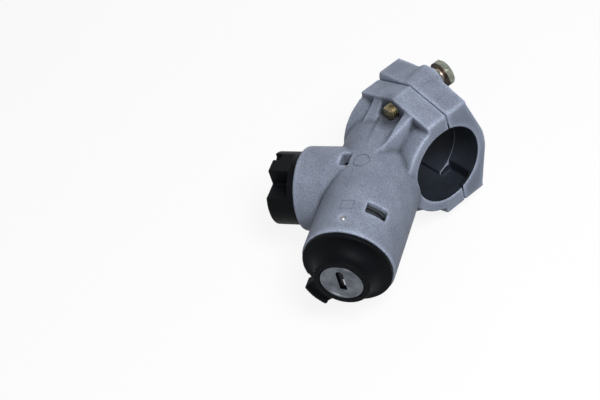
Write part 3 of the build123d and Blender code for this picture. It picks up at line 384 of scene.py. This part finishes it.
def raise_line(casting, places, width, height):
    """A low closed ridge on the barrel through those places, each a length and an angle on it."""
    skin = bmesh.new()
    skin.from_mesh(casting.data)
    stored = skin.verts.layers.float["relief"]
    profile = ((-0.5, -line_sink), (-0.25, height), (0.25, height), (0.5, -line_sink))
    rows = []
    for index, (length, angle) in enumerate(places):
        before = places[index - 1]
        after = places[(index + 1) % len(places)]
        run = Vector((after[0] - before[0], radians(after[1] - before[1]) * barrel_radius)).normalized()
        turn = radians(angle)
        outward = side_dir * sin(turn) + Vector((0, 0, cos(turn)))
        around = side_dir * cos(turn) - Vector((0, 0, sin(turn)))
        across = out_dir * -run.y + around * run.x
        centre = barrel_foot + out_dir * length + outward * barrel_radius
        row = []
        for share, lift in profile:
            row.append(skin.verts.new(centre + across * width * share + outward * lift))
            row[-1][stored] = line_shade_relief
        rows.append(row)
    ridge = []
    for index, row in enumerate(rows):
        after = rows[(index + 1) % len(rows)]
        for i in range(len(profile)):
            j = (i + 1) % len(profile)
            ridge.append(skin.faces.new((row[i], row[j], after[j], after[i])))
    bmesh.ops.recalc_face_normals(skin, faces=ridge)
    skin.to_mesh(casting.data)
    skin.free()


# The outer face of each rib beside the barrel widens towards its foot. Its corners are in mm.
rib_face = ((8.0, -7.5, 31.0), (12.8, -7.5, 31.0), (14.4, -17.6, 17.9), (9.4, -27.0, 23.1))
rib_depth = 5 * mm
rib_wedges = []
for half in (1, -1):
    outer = [Vector((x, y, half * z)) * mm for x, y, z in rib_face]
    rib_wedges.append(outer + [corner - Vector((0, 0, half * rib_depth)) for corner in outer])

casting_voxel = 0.55 * mm
casting_passes = 4
casting_share = 0.5
body_casting = soft_copy("lock_housing", "body_casting", casting_voxel, casting_passes, rib_wedges)
soften_roots(body_casting)
mark_relief(body_casting)
thin(body_casting, casting_share)

# A ring and a small frame stand up from the barrel, darkened along their lines as painted shade.
# Their angles are in degrees.
ring_length = 44.5 * mm
ring_radius = 4.1 * mm
ring_angle = 3.0
ring_half_angle = 10.3
ring_points = 40
ring_places = []
for i in range(ring_points):
    turn = 2 * pi * i / ring_points
    ring_places.append((ring_length + ring_radius * cos(turn), ring_angle + ring_half_angle * sin(turn)))
raise_line(body_casting, ring_places, width=0.8 * mm, height=0.28 * mm)
frame_start = 72.2 * mm
frame_end = 77.5 * mm
frame_left = 7.8
frame_right = -8.0
frame_places = [
    (frame_start, frame_left), (frame_start, frame_right), (frame_end, frame_right), (frame_end, frame_left)
]
raise_line(body_casting, frame_places, width=0.7 * mm, height=0.25 * mm)
dress(body_casting, die_cast)
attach(body_casting, "body")
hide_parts("lock_housing")

cap_casting = soft_copy("clamp_cap", "cap_casting", casting_voxel, casting_passes)
mark_relief(cap_casting)
dress(cap_casting, die_cast)
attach(cap_casting, "body")
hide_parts("clamp_cap")

# Bezel and release button
# Moulded in black ABS from a spark-eroded tool. The bezel's skirt is pressed into the barrel and
# the button slides in a pocket beside the plug's face.
moulding_voxel = 0.3 * mm
moulding_passes = 3
bezel_share = 0.6


def vary(tree, shader, tint, dark, pale, gloss, low, high):
    """Lets one noise run the colour from dark to pale, and another the roughness from low to high."""
    tone = add(tree, "ShaderNodeValToRGB", {"stops": (dark, pale)}, {"Fac": tint.outputs["Fac"]})
    sheen = add(
        tree, "ShaderNodeMapRange", {"From Min": 0.3, "From Max": 0.7, "To Min": low, "To Max": high},
        {"Value": gloss.outputs["Fac"]},
    )
    tree.links.new(tone.outputs["Color"], shader.inputs["Base Color"])
    tree.links.new(sheen.outputs["Result"], shader.inputs["Roughness"])


# Black ABS: near black with a faint blue cast and a low sheen. The tool's fine grain is drawn at
# 0.5 mm, as coarse as it needs to be to show.
black_abs, tree, shader, place = new_finish("black_abs", {"Specular IOR Level": 0.05, "IOR": 1.53})
grain = add(tree, "ShaderNodeTexNoise", {"Scale": 1 / (0.5 * mm), "Detail": 2.0}, {"Vector": place})
dust = add(tree, "ShaderNodeTexNoise", {"Scale": 1 / (9 * mm), "Detail": 4.0}, {"Vector": place})
vary(tree, shader, dust, (0.3, "040608"), (0.75, "090c10"), dust, 0.46, 0.60)
grain_bump = add(
    tree, "ShaderNodeBump", {"Strength": 0.25, "Distance": 0.02 * mm},
    {"Height": grain.outputs["Fac"]},
)
tree.links.new(grain_bump.outputs["Normal"], shader.inputs["Normal"])

bezel = soft_copy("key_bezel", "bezel_moulding", moulding_voxel, moulding_passes)
thin(bezel, bezel_share)
dress(bezel, black_abs)
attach(bezel, "body")
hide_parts("key_bezel")

button = soft_copy("release_button", "button_moulding", moulding_voxel, moulding_passes)
dress(button, black_abs)
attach(button, "button")
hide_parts("release_button")

# Plug cover and shutter
# The cover is pressed from stainless sheet and faced on a lathe, so fine rings run round it. The
# shutter is a steel flap behind the slot, coloured near black as painted shade.
cover_low, cover_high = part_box("plug_cover")
face_centre = (cover_low + cover_high) / 2

# Faced stainless steel: dull grey with smudges and with turned rings a quarter of a millimetre apart.
stainless, tree, shader, place = new_finish("faced_stainless_steel", {"Metallic": 1.0})
from_centre = add(tree, "ShaderNodeVectorMath", {"operation": "DISTANCE", 1: face_centre}, {0: place})
rings = add(
    tree, "ShaderNodeTexNoise",
    {"noise_dimensions": "1D", "Scale": 1 / (0.25 * mm), "Detail": 3.0},
    {"W": from_centre.outputs["Value"]},
)
smudge = add(tree, "ShaderNodeTexNoise", {"Scale": 1 / (5 * mm), "Detail": 4.0}, {"Vector": place})
vary(tree, shader, smudge, (0.3, "4c5058"), (0.7, "6f737b"), rings, 0.28, 0.46)
rings_bump = add(
    tree, "ShaderNodeBump", {"Strength": 0.3, "Distance": 0.01 * mm},
    {"Height": rings.outputs["Fac"]},
)
tree.links.new(rings_bump.outputs["Normal"], shader.inputs["Normal"])

# The slot's long edges are pressed apart, so that it shows wider than the passage behind it.
cover_voxel = 0.12 * mm
cover_passes = 3
cover_share = 0.5
slot_half = 1.25 * mm
slot_flare = 0.5 * mm
slot_reach = 5.5 * mm
flare_width = slot_half * 2.6
flare_reach = slot_reach + 1 * mm
cover = soft_copy("plug_cover", "cover_pressing", cover_voxel, cover_passes)
for vertex in cover.data.vertices:
    aside = (vertex.co - face_centre).dot(side_dir)
    beside = ramp(abs(aside), flare_width, slot_half)
    level = ramp(abs(vertex.co.z - face_centre.z), flare_reach, slot_reach)
    push = slot_flare * beside * level
    vertex.co += side_dir * (push if aside > 0 else -push)
thin(cover, cover_share)
dress(cover, stainless)
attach(cover, "rotor")
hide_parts("plug_cover")

# Spring steel flap: near black as painted shade, with one streak of painted highlight along the slot.
highlight_aside = -0.8 * mm
highlight_half = 0.5 * mm
highlight_middle = -1.2 * mm
highlight_reach = 2.0 * mm
flap_steel, tree, shader, place = new_finish("steel_flap_painted_shade", {"Metallic": 1.0, "Roughness": 0.35})
centred = add(tree, "ShaderNodeVectorMath", {"operation": "SUBTRACT", 1: face_centre}, {0: place})
aside = add(
    tree, "ShaderNodeVectorMath", {"operation": "DOT_PRODUCT", 1: side_dir},
    {0: centred.outputs["Vector"]},
)
split = add(tree, "ShaderNodeSeparateXYZ", {}, {"Vector": centred.outputs["Vector"]})
in_width = add(
    tree, "ShaderNodeMath", {"operation": "COMPARE", 1: highlight_aside, 2: highlight_half},
    {0: aside.outputs["Value"]},
)
in_length = add(
    tree, "ShaderNodeMath", {"operation": "COMPARE", 1: highlight_middle, 2: highlight_reach},
    {0: split.outputs["Z"]},
)
flap_highlight = add(
    tree, "ShaderNodeMath", {"operation": "MULTIPLY"},
    {0: in_width.outputs["Value"], 1: in_length.outputs["Value"]},
)
blotches = add(tree, "ShaderNodeTexNoise", {"Scale": 1 / (1.5 * mm), "Detail": 3.0}, {"Vector": place})
patchy_tone = add(
    tree, "ShaderNodeValToRGB", {"stops": ((0.3, "101115"), (0.7, "24262c"))},
    {"Fac": blotches.outputs["Fac"]},
)
flap_colour = add(
    tree, "ShaderNodeMix", {"data_type": "RGBA", 7: linear("b4b8bf")},
    {0: flap_highlight.outputs["Value"], 6: patchy_tone.outputs["Color"]},
)
tree.links.new(flap_colour.outputs[2], shader.inputs["Base Color"])
dress(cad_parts["key_shutter"], flap_steel)

# Lock cylinder
# The sleeve and the plug are turned from brass and nickel-plated, the wafers stamped from brass. The
# sleeve shows dully through the barrel's window and the plug through the cover's slot.

# Dull nickel plate: a dark, slightly blue grey, streaked by the turning and greased. The face of the
# rear land, which the window shows, has a pale ring on it as a painted highlight.
rear_land_face = 68.0 * mm
face_half = 0.3 * mm
highlight_ring_r = 16.0 * mm
highlight_ring_half = 0.8 * mm
nickel, tree, shader, place = new_finish("dull_nickel_plate", {"Metallic": 0.25})
from_foot = add(tree, "ShaderNodeVectorMath", {"operation": "SUBTRACT", 1: barrel_foot}, {0: place})
down_axis = add(
    tree, "ShaderNodeVectorMath", {"operation": "DOT_PRODUCT", 1: out_dir},
    {0: from_foot.outputs["Vector"]},
)
on_axis = add(
    tree, "ShaderNodeVectorMath", {"operation": "SCALE", 0: out_dir},
    {"Scale": down_axis.outputs["Value"]},
)
off_axis = add(
    tree, "ShaderNodeVectorMath", {"operation": "DISTANCE"},
    {0: from_foot.outputs["Vector"], 1: on_axis.outputs["Vector"]},
)
in_ring = add(
    tree, "ShaderNodeMath", {"operation": "COMPARE", 1: highlight_ring_r, 2: highlight_ring_half},
    {0: off_axis.outputs["Value"]},
)
at_land = add(
    tree, "ShaderNodeMath", {"operation": "COMPARE", 1: rear_land_face, 2: face_half},
    {0: down_axis.outputs["Value"]},
)
land_highlight = add(
    tree, "ShaderNodeMath", {"operation": "MULTIPLY"},
    {0: in_ring.outputs["Value"], 1: at_land.outputs["Value"]},
)
blotches = add(tree, "ShaderNodeTexNoise", {"Scale": 1 / (6 * mm), "Detail": 4.0}, {"Vector": place})
lines = add(tree, "ShaderNodeTexNoise", {"Scale": 1 / (0.3 * mm), "Detail": 2.0}, {"Vector": place})
tone = add(
    tree, "ShaderNodeValToRGB", {"stops": ((0.35, "3c4046"), (0.7, "5a5e66"))},
    {"Fac": blotches.outputs["Fac"]},
)
plate_colour = add(
    tree, "ShaderNodeMix", {"data_type": "RGBA", 7: linear("d2d5da")},
    {0: land_highlight.outputs["Value"], 6: tone.outputs["Color"]},
)
gloss = add(
    tree, "ShaderNodeMapRange", {"From Min": 0.3, "From Max": 0.7, "To Min": 0.34, "To Max": 0.50},
    {"Value": lines.outputs["Fac"]},
)
tree.links.new(plate_colour.outputs[2], shader.inputs["Base Color"])
tree.links.new(gloss.outputs["Result"], shader.inputs["Roughness"])
for name in ("cylinder_sleeve", "lock_plug"):
    dress(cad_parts[name], nickel)

# Stamped brass: a warm yellow metal with dull patches.
brass, tree, shader, place = new_finish("stamped_brass", {"Metallic": 1.0})
tarnish = add(tree, "ShaderNodeTexNoise", {"Scale": 1 / (3 * mm), "Detail": 4.0}, {"Vector": place})
vary(tree, shader, tarnish, (0.35, "8f7a48"), (0.7, "b59d62"), tarnish, 0.25, 0.42)
dress(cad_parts["wafers"], brass)

# Steel drive and springs
# The shaft, both gears, the pins and the lock bolt are case-hardened and ground. The springs are
# wound from oil-tempered wire, and the leaf is bent from bright strip.

# Ground steel: neutral grey with fine streaks and a faint film of oil.
ground_steel, tree, shader, place = new_finish("ground_steel", {"Metallic": 1.0})
streaks = add(tree, "ShaderNodeTexNoise", {"Scale": 1 / (0.4 * mm), "Detail": 3.0}, {"Vector": place})
patchy_tone = add(tree, "ShaderNodeTexNoise", {"Scale": 1 / (7 * mm), "Detail": 3.0}, {"Vector": place})
vary(tree, shader, patchy_tone, (0.35, "7b7c80"), (0.7, "9b9ca0"), streaks, 0.22, 0.38)
for name in ("drive_shaft", "drive_gear", "follower_pin", "lock_bolt", "switch_gear", "sleeve_pin"):
    dress(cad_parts[name], ground_steel)

# Oil-tempered spring steel: dark blue-grey wire with a dull shine.
spring_steel, tree, shader, place = new_finish("oil_tempered_spring_steel", {"Metallic": 1.0})
scale = add(tree, "ShaderNodeTexNoise", {"Scale": 1 / (1.2 * mm), "Detail": 3.0}, {"Vector": place})
vary(tree, shader, scale, (0.3, "4d5258"), (0.7, "8b9094"), scale, 0.28, 0.45)
for name in ("wafer_springs", "bridge_springs"):
    dress(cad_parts[name], spring_steel)

# The button's spring shortens between the sleeve's rear land and the button's stem.
coil = merged_copy("button_spring")
reaches = [(vertex.co - barrel_foot).dot(out_dir) for vertex in coil.verts]
button_coil = new_piece("button_coil", coil)
dress(button_coil, spring_steel)
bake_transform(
    button_coil, "body", "button",
    barrel_foot + out_dir * min(reaches), barrel_foot + out_dir * max(reaches),
)
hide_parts("button_spring")

# Bright cold-rolled strip: pale grey with fine streaks from the rolls.
rolled_strip, tree, shader, place = new_finish("cold_rolled_strip", {"Metallic": 0.7})
streaks = add(tree, "ShaderNodeTexNoise", {"Scale": 1 / (0.5 * mm), "Detail": 3.0}, {"Vector": place})
vary(tree, shader, streaks, (0.3, "a4a8b0"), (0.7, "d0d3d9"), streaks, 0.35, 0.50)
dress(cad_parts["retaining_leaf"], rolled_strip)

# Shear bolts
# Two zinc-plated steel bolts with a yellow chromate finish on the thread. The hexagon twists off at
# the thin neck once the clamp is tight, and here both are still whole.
bolt_low, bolt_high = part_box("shear_bolts")
shank_radius = 3.95 * mm
thread_length = 9.0 * mm
thread_pitch = 1.25 * mm
thread_depth = 0.62 * mm
flank_slope = 1.35
crest_flat = 0.17
tip_slope = 0.8
tip_depth = thread_depth * 1.3
collar_radius = 6.6 * mm
collar_height = 2.2 * mm
collar_slope = radians(20)
neck_radius = 3.3 * mm
neck_height = 2.6 * mm
neck_fillet = 0.5 * mm
head_flats = 13.8 * mm
head_height = 3.4 * mm
head_turn = radians(19)
head_chamfer = 1.2 * mm
chamfer_start = head_flats / 2 + 0.1 * mm
chamfer_slope = 0.7
worn_corner = head_flats / 2 + 0.75 * mm
head_foot = bolt_high.y - head_height
collar_top = head_foot - neck_height
collar_foot = collar_top - collar_height
thread_top = bolt_low.y + thread_length
sharp_step = 0.001 * mm


def bolt_radius(turn, y):
    """Radius of the bolt at that angle and height: thread, shank, collar, neck or hexagon."""
    if y <= thread_top:
        tip = (y - bolt_low.y) * tip_slope + shank_radius - tip_depth
        phase = (y / thread_pitch - turn / (2 * pi)) % 1.0
        flank = abs(2 * phase - 1) * flank_slope - crest_flat
        return min(tip, shank_radius - thread_depth * min(1.0, max(0.0, flank)))
    if y < collar_foot:
        return shank_radius
    if y <= collar_top:
        return collar_radius - (y - collar_foot) * tan(collar_slope)
    if y < head_foot:
        from_middle = 2 * abs((y - collar_top) / neck_height - 0.5)
        return neck_radius + neck_fillet * from_middle ** 3
    sector = ((turn + head_turn) % (pi / 3)) - pi / 6
    flat = head_flats / 2 / cos(sector)
    edge = min(y - head_foot, bolt_high.y - y)
    return min(flat, chamfer_start + edge * chamfer_slope, worn_corner)


thread_steps = 12
neck_steps = 8
chamfer_steps = 4
levels = []
y = bolt_low.y
while y < thread_top:
    levels.append(y)
    y += thread_pitch / thread_steps
levels += [thread_top, collar_foot - sharp_step, collar_foot, collar_top]
levels += [collar_top + neck_height * i / neck_steps for i in range(neck_steps)]
levels += [head_foot - sharp_step, head_foot]
levels += [head_foot + head_chamfer * i / chamfer_steps for i in range(1, chamfer_steps + 1)]
levels += [bolt_high.y - head_chamfer * i / chamfer_steps for i in range(chamfer_steps, -1, -1)]

bolt_sides = 96
end_ring_share = 0.6
solid = bmesh.new()
rows = []
for y in levels:
    row = []
    for i in range(bolt_sides):
        turn = 2 * pi * i / bolt_sides
        r = bolt_radius(turn, y)
        row.append(solid.verts.new((r * cos(turn), y, r * sin(turn))))
    rows.append(row)
for lower, upper_row in zip(rows, rows[1:]):
    for i in range(bolt_sides):
        j = (i + 1) % bolt_sides
        solid.faces.new((lower[i], upper_row[i], upper_row[j], lower[j]))
for row in (rows[0], rows[-1]):
    inner = [solid.verts.new((v.co.x * end_ring_share, v.co.y, v.co.z * end_ring_share)) for v in row]
    centre = solid.verts.new((0, row[0].co.y, 0))
    for i in range(bolt_sides):
        j = (i + 1) % bolt_sides
        solid.faces.new((row[i], inner[i], inner[j], row[j]))
        solid.faces.new((inner[i], centre, inner[j]))
bmesh.ops.recalc_face_normals(solid, faces=solid.faces)
bolt_mesh = bpy.data.meshes.new("shear_bolt")
solid.to_mesh(bolt_mesh)
solid.free()
bolt_mesh.polygons.foreach_set("use_smooth", [True] * len(bolt_mesh.polygons))
bolt_mesh.set_sharp_from_angle(angle=radians(28))

# Zinc plate: olive-grey on the hexagon, dull yellow chromate towards the thread, rubbed bright in
# spots, and a pale pinkish band on the neck as a painted highlight.
zinc_plate, tree, shader, place = new_finish("chromated_zinc_plate", {"Metallic": 1.0})
split = add(tree, "ShaderNodeSeparateXYZ", {}, {"Vector": place})
past_thread = add(
    tree, "ShaderNodeMapRange", {"From Min": thread_top, "From Max": collar_foot},
    {"Value": split.outputs["Y"]},
)
patch = add(tree, "ShaderNodeTexNoise", {"Scale": 1 / (2.5 * mm), "Detail": 4.0}, {"Vector": place})
yellow = add(
    tree, "ShaderNodeValToRGB", {"stops": ((0.3, "453e2c"), (0.7, "a09575"))},
    {"Fac": patch.outputs["Fac"]},
)
olive = add(
    tree, "ShaderNodeValToRGB", {"stops": ((0.3, "62665e"), (0.7, "959a8f"))},
    {"Fac": patch.outputs["Fac"]},
)
plated = add(
    tree, "ShaderNodeMix", {"data_type": "RGBA"},
    {0: past_thread.outputs["Result"], 6: yellow.outputs["Color"], 7: olive.outputs["Color"]},
)
# A painted highlight on the neck.
neck_highlight = add(
    tree, "ShaderNodeMath",
    {"operation": "COMPARE", 1: collar_top + neck_height / 2, 2: neck_height / 2},
    {0: split.outputs["Y"]},
)
bolt_colour = add(
    tree, "ShaderNodeMix", {"data_type": "RGBA", 7: linear("94897f")},
    {0: neck_highlight.outputs["Value"], 6: plated.outputs[2]},
)
gloss = add(
    tree, "ShaderNodeMapRange", {"From Min": 0.3, "From Max": 0.7, "To Min": 0.25, "To Max": 0.45},
    {"Value": patch.outputs["Fac"]},
)
tree.links.new(bolt_colour.outputs[2], shader.inputs["Base Color"])
tree.links.new(gloss.outputs["Result"], shader.inputs["Roughness"])

# One bolt goes to each side of the bore. The spacing sets the hexagons' corners on the CAD box.
head_corner = head_flats / 2 / cos(pi / 6)
spacing = bolt_high.z - bolt_low.z - 2 * head_corner * cos(pi / 6 - head_turn)
carrier = bpy.data.objects.new("shear_bolt_pair", bpy.data.meshes.new("bolt_places"))
bpy.context.scene.collection.objects.link(carrier)
single = bpy.data.objects.new("single_bolt", bolt_mesh)
places = bpy.data.node_groups.new("bolt_places", "GeometryNodeTree")
places.interface.new_socket("Geometry", in_out="OUTPUT", socket_type="NodeSocketGeometry")
spacing_input = places.interface.new_socket("Spacing", in_out="INPUT", socket_type="NodeSocketFloat")
entry = add(places, "NodeGroupInput")
half = add(places, "ShaderNodeMath", {"operation": "MULTIPLY", 1: -0.5}, {0: entry.outputs["Spacing"]})
start = add(
    places, "ShaderNodeCombineXYZ", {"X": (bolt_low.x + bolt_high.x) / 2},
    {"Z": half.outputs["Value"]},
)
step = add(places, "ShaderNodeCombineXYZ", {}, {"Z": entry.outputs["Spacing"]})
line = add(
    places, "GeometryNodeMeshLine", {"Count": 2},
    {"Start Location": start.outputs["Vector"], "Offset": step.outputs["Vector"]},
)
source = add(places, "GeometryNodeObjectInfo", {"Object": single})
copies = add(
    places, "GeometryNodeInstanceOnPoints", {},
    {"Points": line.outputs["Mesh"], "Instance": source.outputs["Geometry"]},
)
real = add(places, "GeometryNodeRealizeInstances", {}, {"Geometry": copies.outputs["Instances"]})
finished = add(
    places, "GeometryNodeSetMaterial", {"Material": zinc_plate},
    {"Geometry": real.outputs["Geometry"]},
)
add(places, "NodeGroupOutput", {}, {"Geometry": finished.outputs["Geometry"]})
maker = carrier.modifiers.new("places", "NODES")
maker.node_group = places
maker[spacing_input.identifier] = spacing
apply_modifiers(carrier)
bpy.data.objects.remove(single)
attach(carrier, "body")
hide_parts("shear_bolts")

# Ignition switch
# The body is moulded in black glass-filled nylon and the rotor and bush in a tan grade. The blades
# are tinned brass and the contacts silvered copper.

# Glass-filled nylon: matt black, faintly uneven where the fibres lie near the skin. Their marks are
# drawn at 1.1 mm, as coarse as they need to be to show.
nylon, tree, shader, place = new_finish("glass_filled_nylon", {"IOR": 1.53, "Specular IOR Level": 0.05})
fibres = add(tree, "ShaderNodeTexNoise", {"Scale": 1 / (1.1 * mm), "Detail": 4.0}, {"Vector": place})
vary(tree, shader, fibres, (0.3, "06080a"), (0.8, "0c0f13"), fibres, 0.42, 0.58)
fibres_bump = add(
    tree, "ShaderNodeBump", {"Strength": 0.2, "Distance": 0.02 * mm},
    {"Height": fibres.outputs["Fac"]},
)
tree.links.new(fibres_bump.outputs["Normal"], shader.inputs["Normal"])

switch_share = 0.45
switch_body = soft_copy("switch_housing", "switch_moulding", moulding_voxel, moulding_passes)
thin(switch_body, switch_share)
dress(switch_body, nylon)
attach(switch_body, "body")
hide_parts("switch_housing")

# Tan nylon: a matt, slightly mottled moulding.
tan_nylon, tree, shader, place = new_finish("tan_nylon", {"IOR": 1.53})
mottle = add(tree, "ShaderNodeTexNoise", {"Scale": 1 / (2 * mm), "Detail": 4.0}, {"Vector": place})
vary(tree, shader, mottle, (0.3, "8d8268"), (0.7, "a59a7e"), mottle, 0.45, 0.6)
for name in ("spindle_bush", "switch_rotor"):
    dress(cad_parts[name], tan_nylon)

# Tinned brass: a pale, bright plating with a slight warmth where it is thin. The silvered contacts
# look the same.
tinned, tree, shader, place = new_finish("tinned_brass", {"Metallic": 1.0})
plate = add(tree, "ShaderNodeTexNoise", {"Scale": 1 / (1.5 * mm), "Detail": 3.0}, {"Vector": place})
vary(tree, shader, plate, (0.3, "b9b3a4"), (0.7, "d6d5d0"), plate, 0.18, 0.34)
for name in ("switch_terminals", "fixed_contacts", "contact_bridge"):
    dress(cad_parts[name], tinned)


# Studio
# A plain white floor and backdrop under soft light, and the camera at the photograph's angle. The
# floor and the backdrop are white to the camera and in reflections, but throw little light.
def seen_as_white(tree):
    """1 for camera, glossy and transmission rays, and 0 for the rest."""
    path = add(tree, "ShaderNodeLightPath")
    direct = add(
        tree, "ShaderNodeMath", {"operation": "MAXIMUM"},
        {0: path.outputs["Is Camera Ray"], 1: path.outputs["Is Glossy Ray"]},
    )
    seen = add(
        tree, "ShaderNodeMath", {"operation": "MAXIMUM"},
        {0: direct.outputs["Value"], 1: path.outputs["Is Transmission Ray"]},
    )
    return seen.outputs["Value"]


floor_glow = 0.88
paper = bpy.data.materials.new("white_paper")
paper.use_nodes = True
tree = paper.node_tree
tree.nodes.clear()
sheet = add(tree, "ShaderNodeBsdfDiffuse", {"Color": linear("5c5c5c")})
lift = add(tree, "ShaderNodeMath", {"operation": "MULTIPLY", 1: floor_glow}, {0: seen_as_white(tree)})
glow = add(tree, "ShaderNodeEmission", {"Color": linear("ffffff")}, {"Strength": lift.outputs["Value"]})
both = add(tree, "ShaderNodeAddShader", {}, {0: sheet.outputs["BSDF"], 1: glow.outputs["Emission"]})
add(tree, "ShaderNodeOutputMaterial", {}, {"Surface": both.outputs["Shader"]})

floor_gap = 0.2 * mm
floor_half = 3.0
floor_height = cad_box[0][2] - floor_gap
corners = [(x * floor_half, y * floor_half, floor_height) for x, y in ((-1, -1), (1, -1), (1, 1), (-1, 1))]
floor_mesh = bpy.data.meshes.new("floor")
floor_mesh.from_pydata(corners, [], [(0, 1, 2, 3)])
floor_mesh.materials.append(paper)
floor = bpy.data.objects.new("floor", floor_mesh)
bpy.context.scene.collection.objects.link(floor)

world = bpy.data.worlds.new("studio")
bpy.context.scene.world = world
world.use_nodes = True
tree = world.node_tree
tree.nodes.clear()
soft = add(tree, "ShaderNodeBackground", {"Color": linear("ffffff"), "Strength": 0.08})
white = add(tree, "ShaderNodeBackground", {"Color": linear("ffffff"), "Strength": 1.0})
sky = add(
    tree, "ShaderNodeMixShader", {},
    {0: seen_as_white(tree), 1: soft.outputs["Background"], 2: white.outputs["Background"]},
)
add(tree, "ShaderNodeOutputWorld", {}, {"Surface": sky.outputs["Shader"]})

for name, spot, size, power in (
    ("key_light", (0.62, -0.10, 0.77), 0.40, 10.5),
    ("front_light", (0.45, -0.60, 0.50), 0.5, 0.5),
    ("back_light", (-0.55, 0.80, 0.25), 0.6, 4.0),
):
    lamp = bpy.data.lights.new(name, "AREA")
    lamp.size = size
    lamp.energy = power
    light = bpy.data.objects.new(name, lamp)
    light.location = spot
    light.rotation_euler = (-Vector(spot)).to_track_quat("-Z", "Y").to_euler()
    bpy.context.scene.collection.objects.link(light)

camera_data = bpy.data.cameras.new("camera")
camera_data.lens = 79.65
camera_data.sensor_width = 36
camera_data.clip_start = 0.01
camera_data.clip_end = 20
camera = bpy.data.objects.new("camera", camera_data)
camera_place = Vector((0.43184, -0.28283, 0.43908))
right = Vector((0.6071, 0.7559, -0.2449))
up = Vector((-0.4170, 0.5654, 0.7116))
back = Vector((0.6764, -0.3300, 0.6585))
turned = Matrix((right, up, back)).transposed().to_4x4()
camera.matrix_world = Matrix.Translation(camera_place) @ turned
bpy.context.scene.collection.objects.link(camera)
bpy.context.scene.camera = camera
bpy.context.scene.view_settings.view_transform = "Standard"
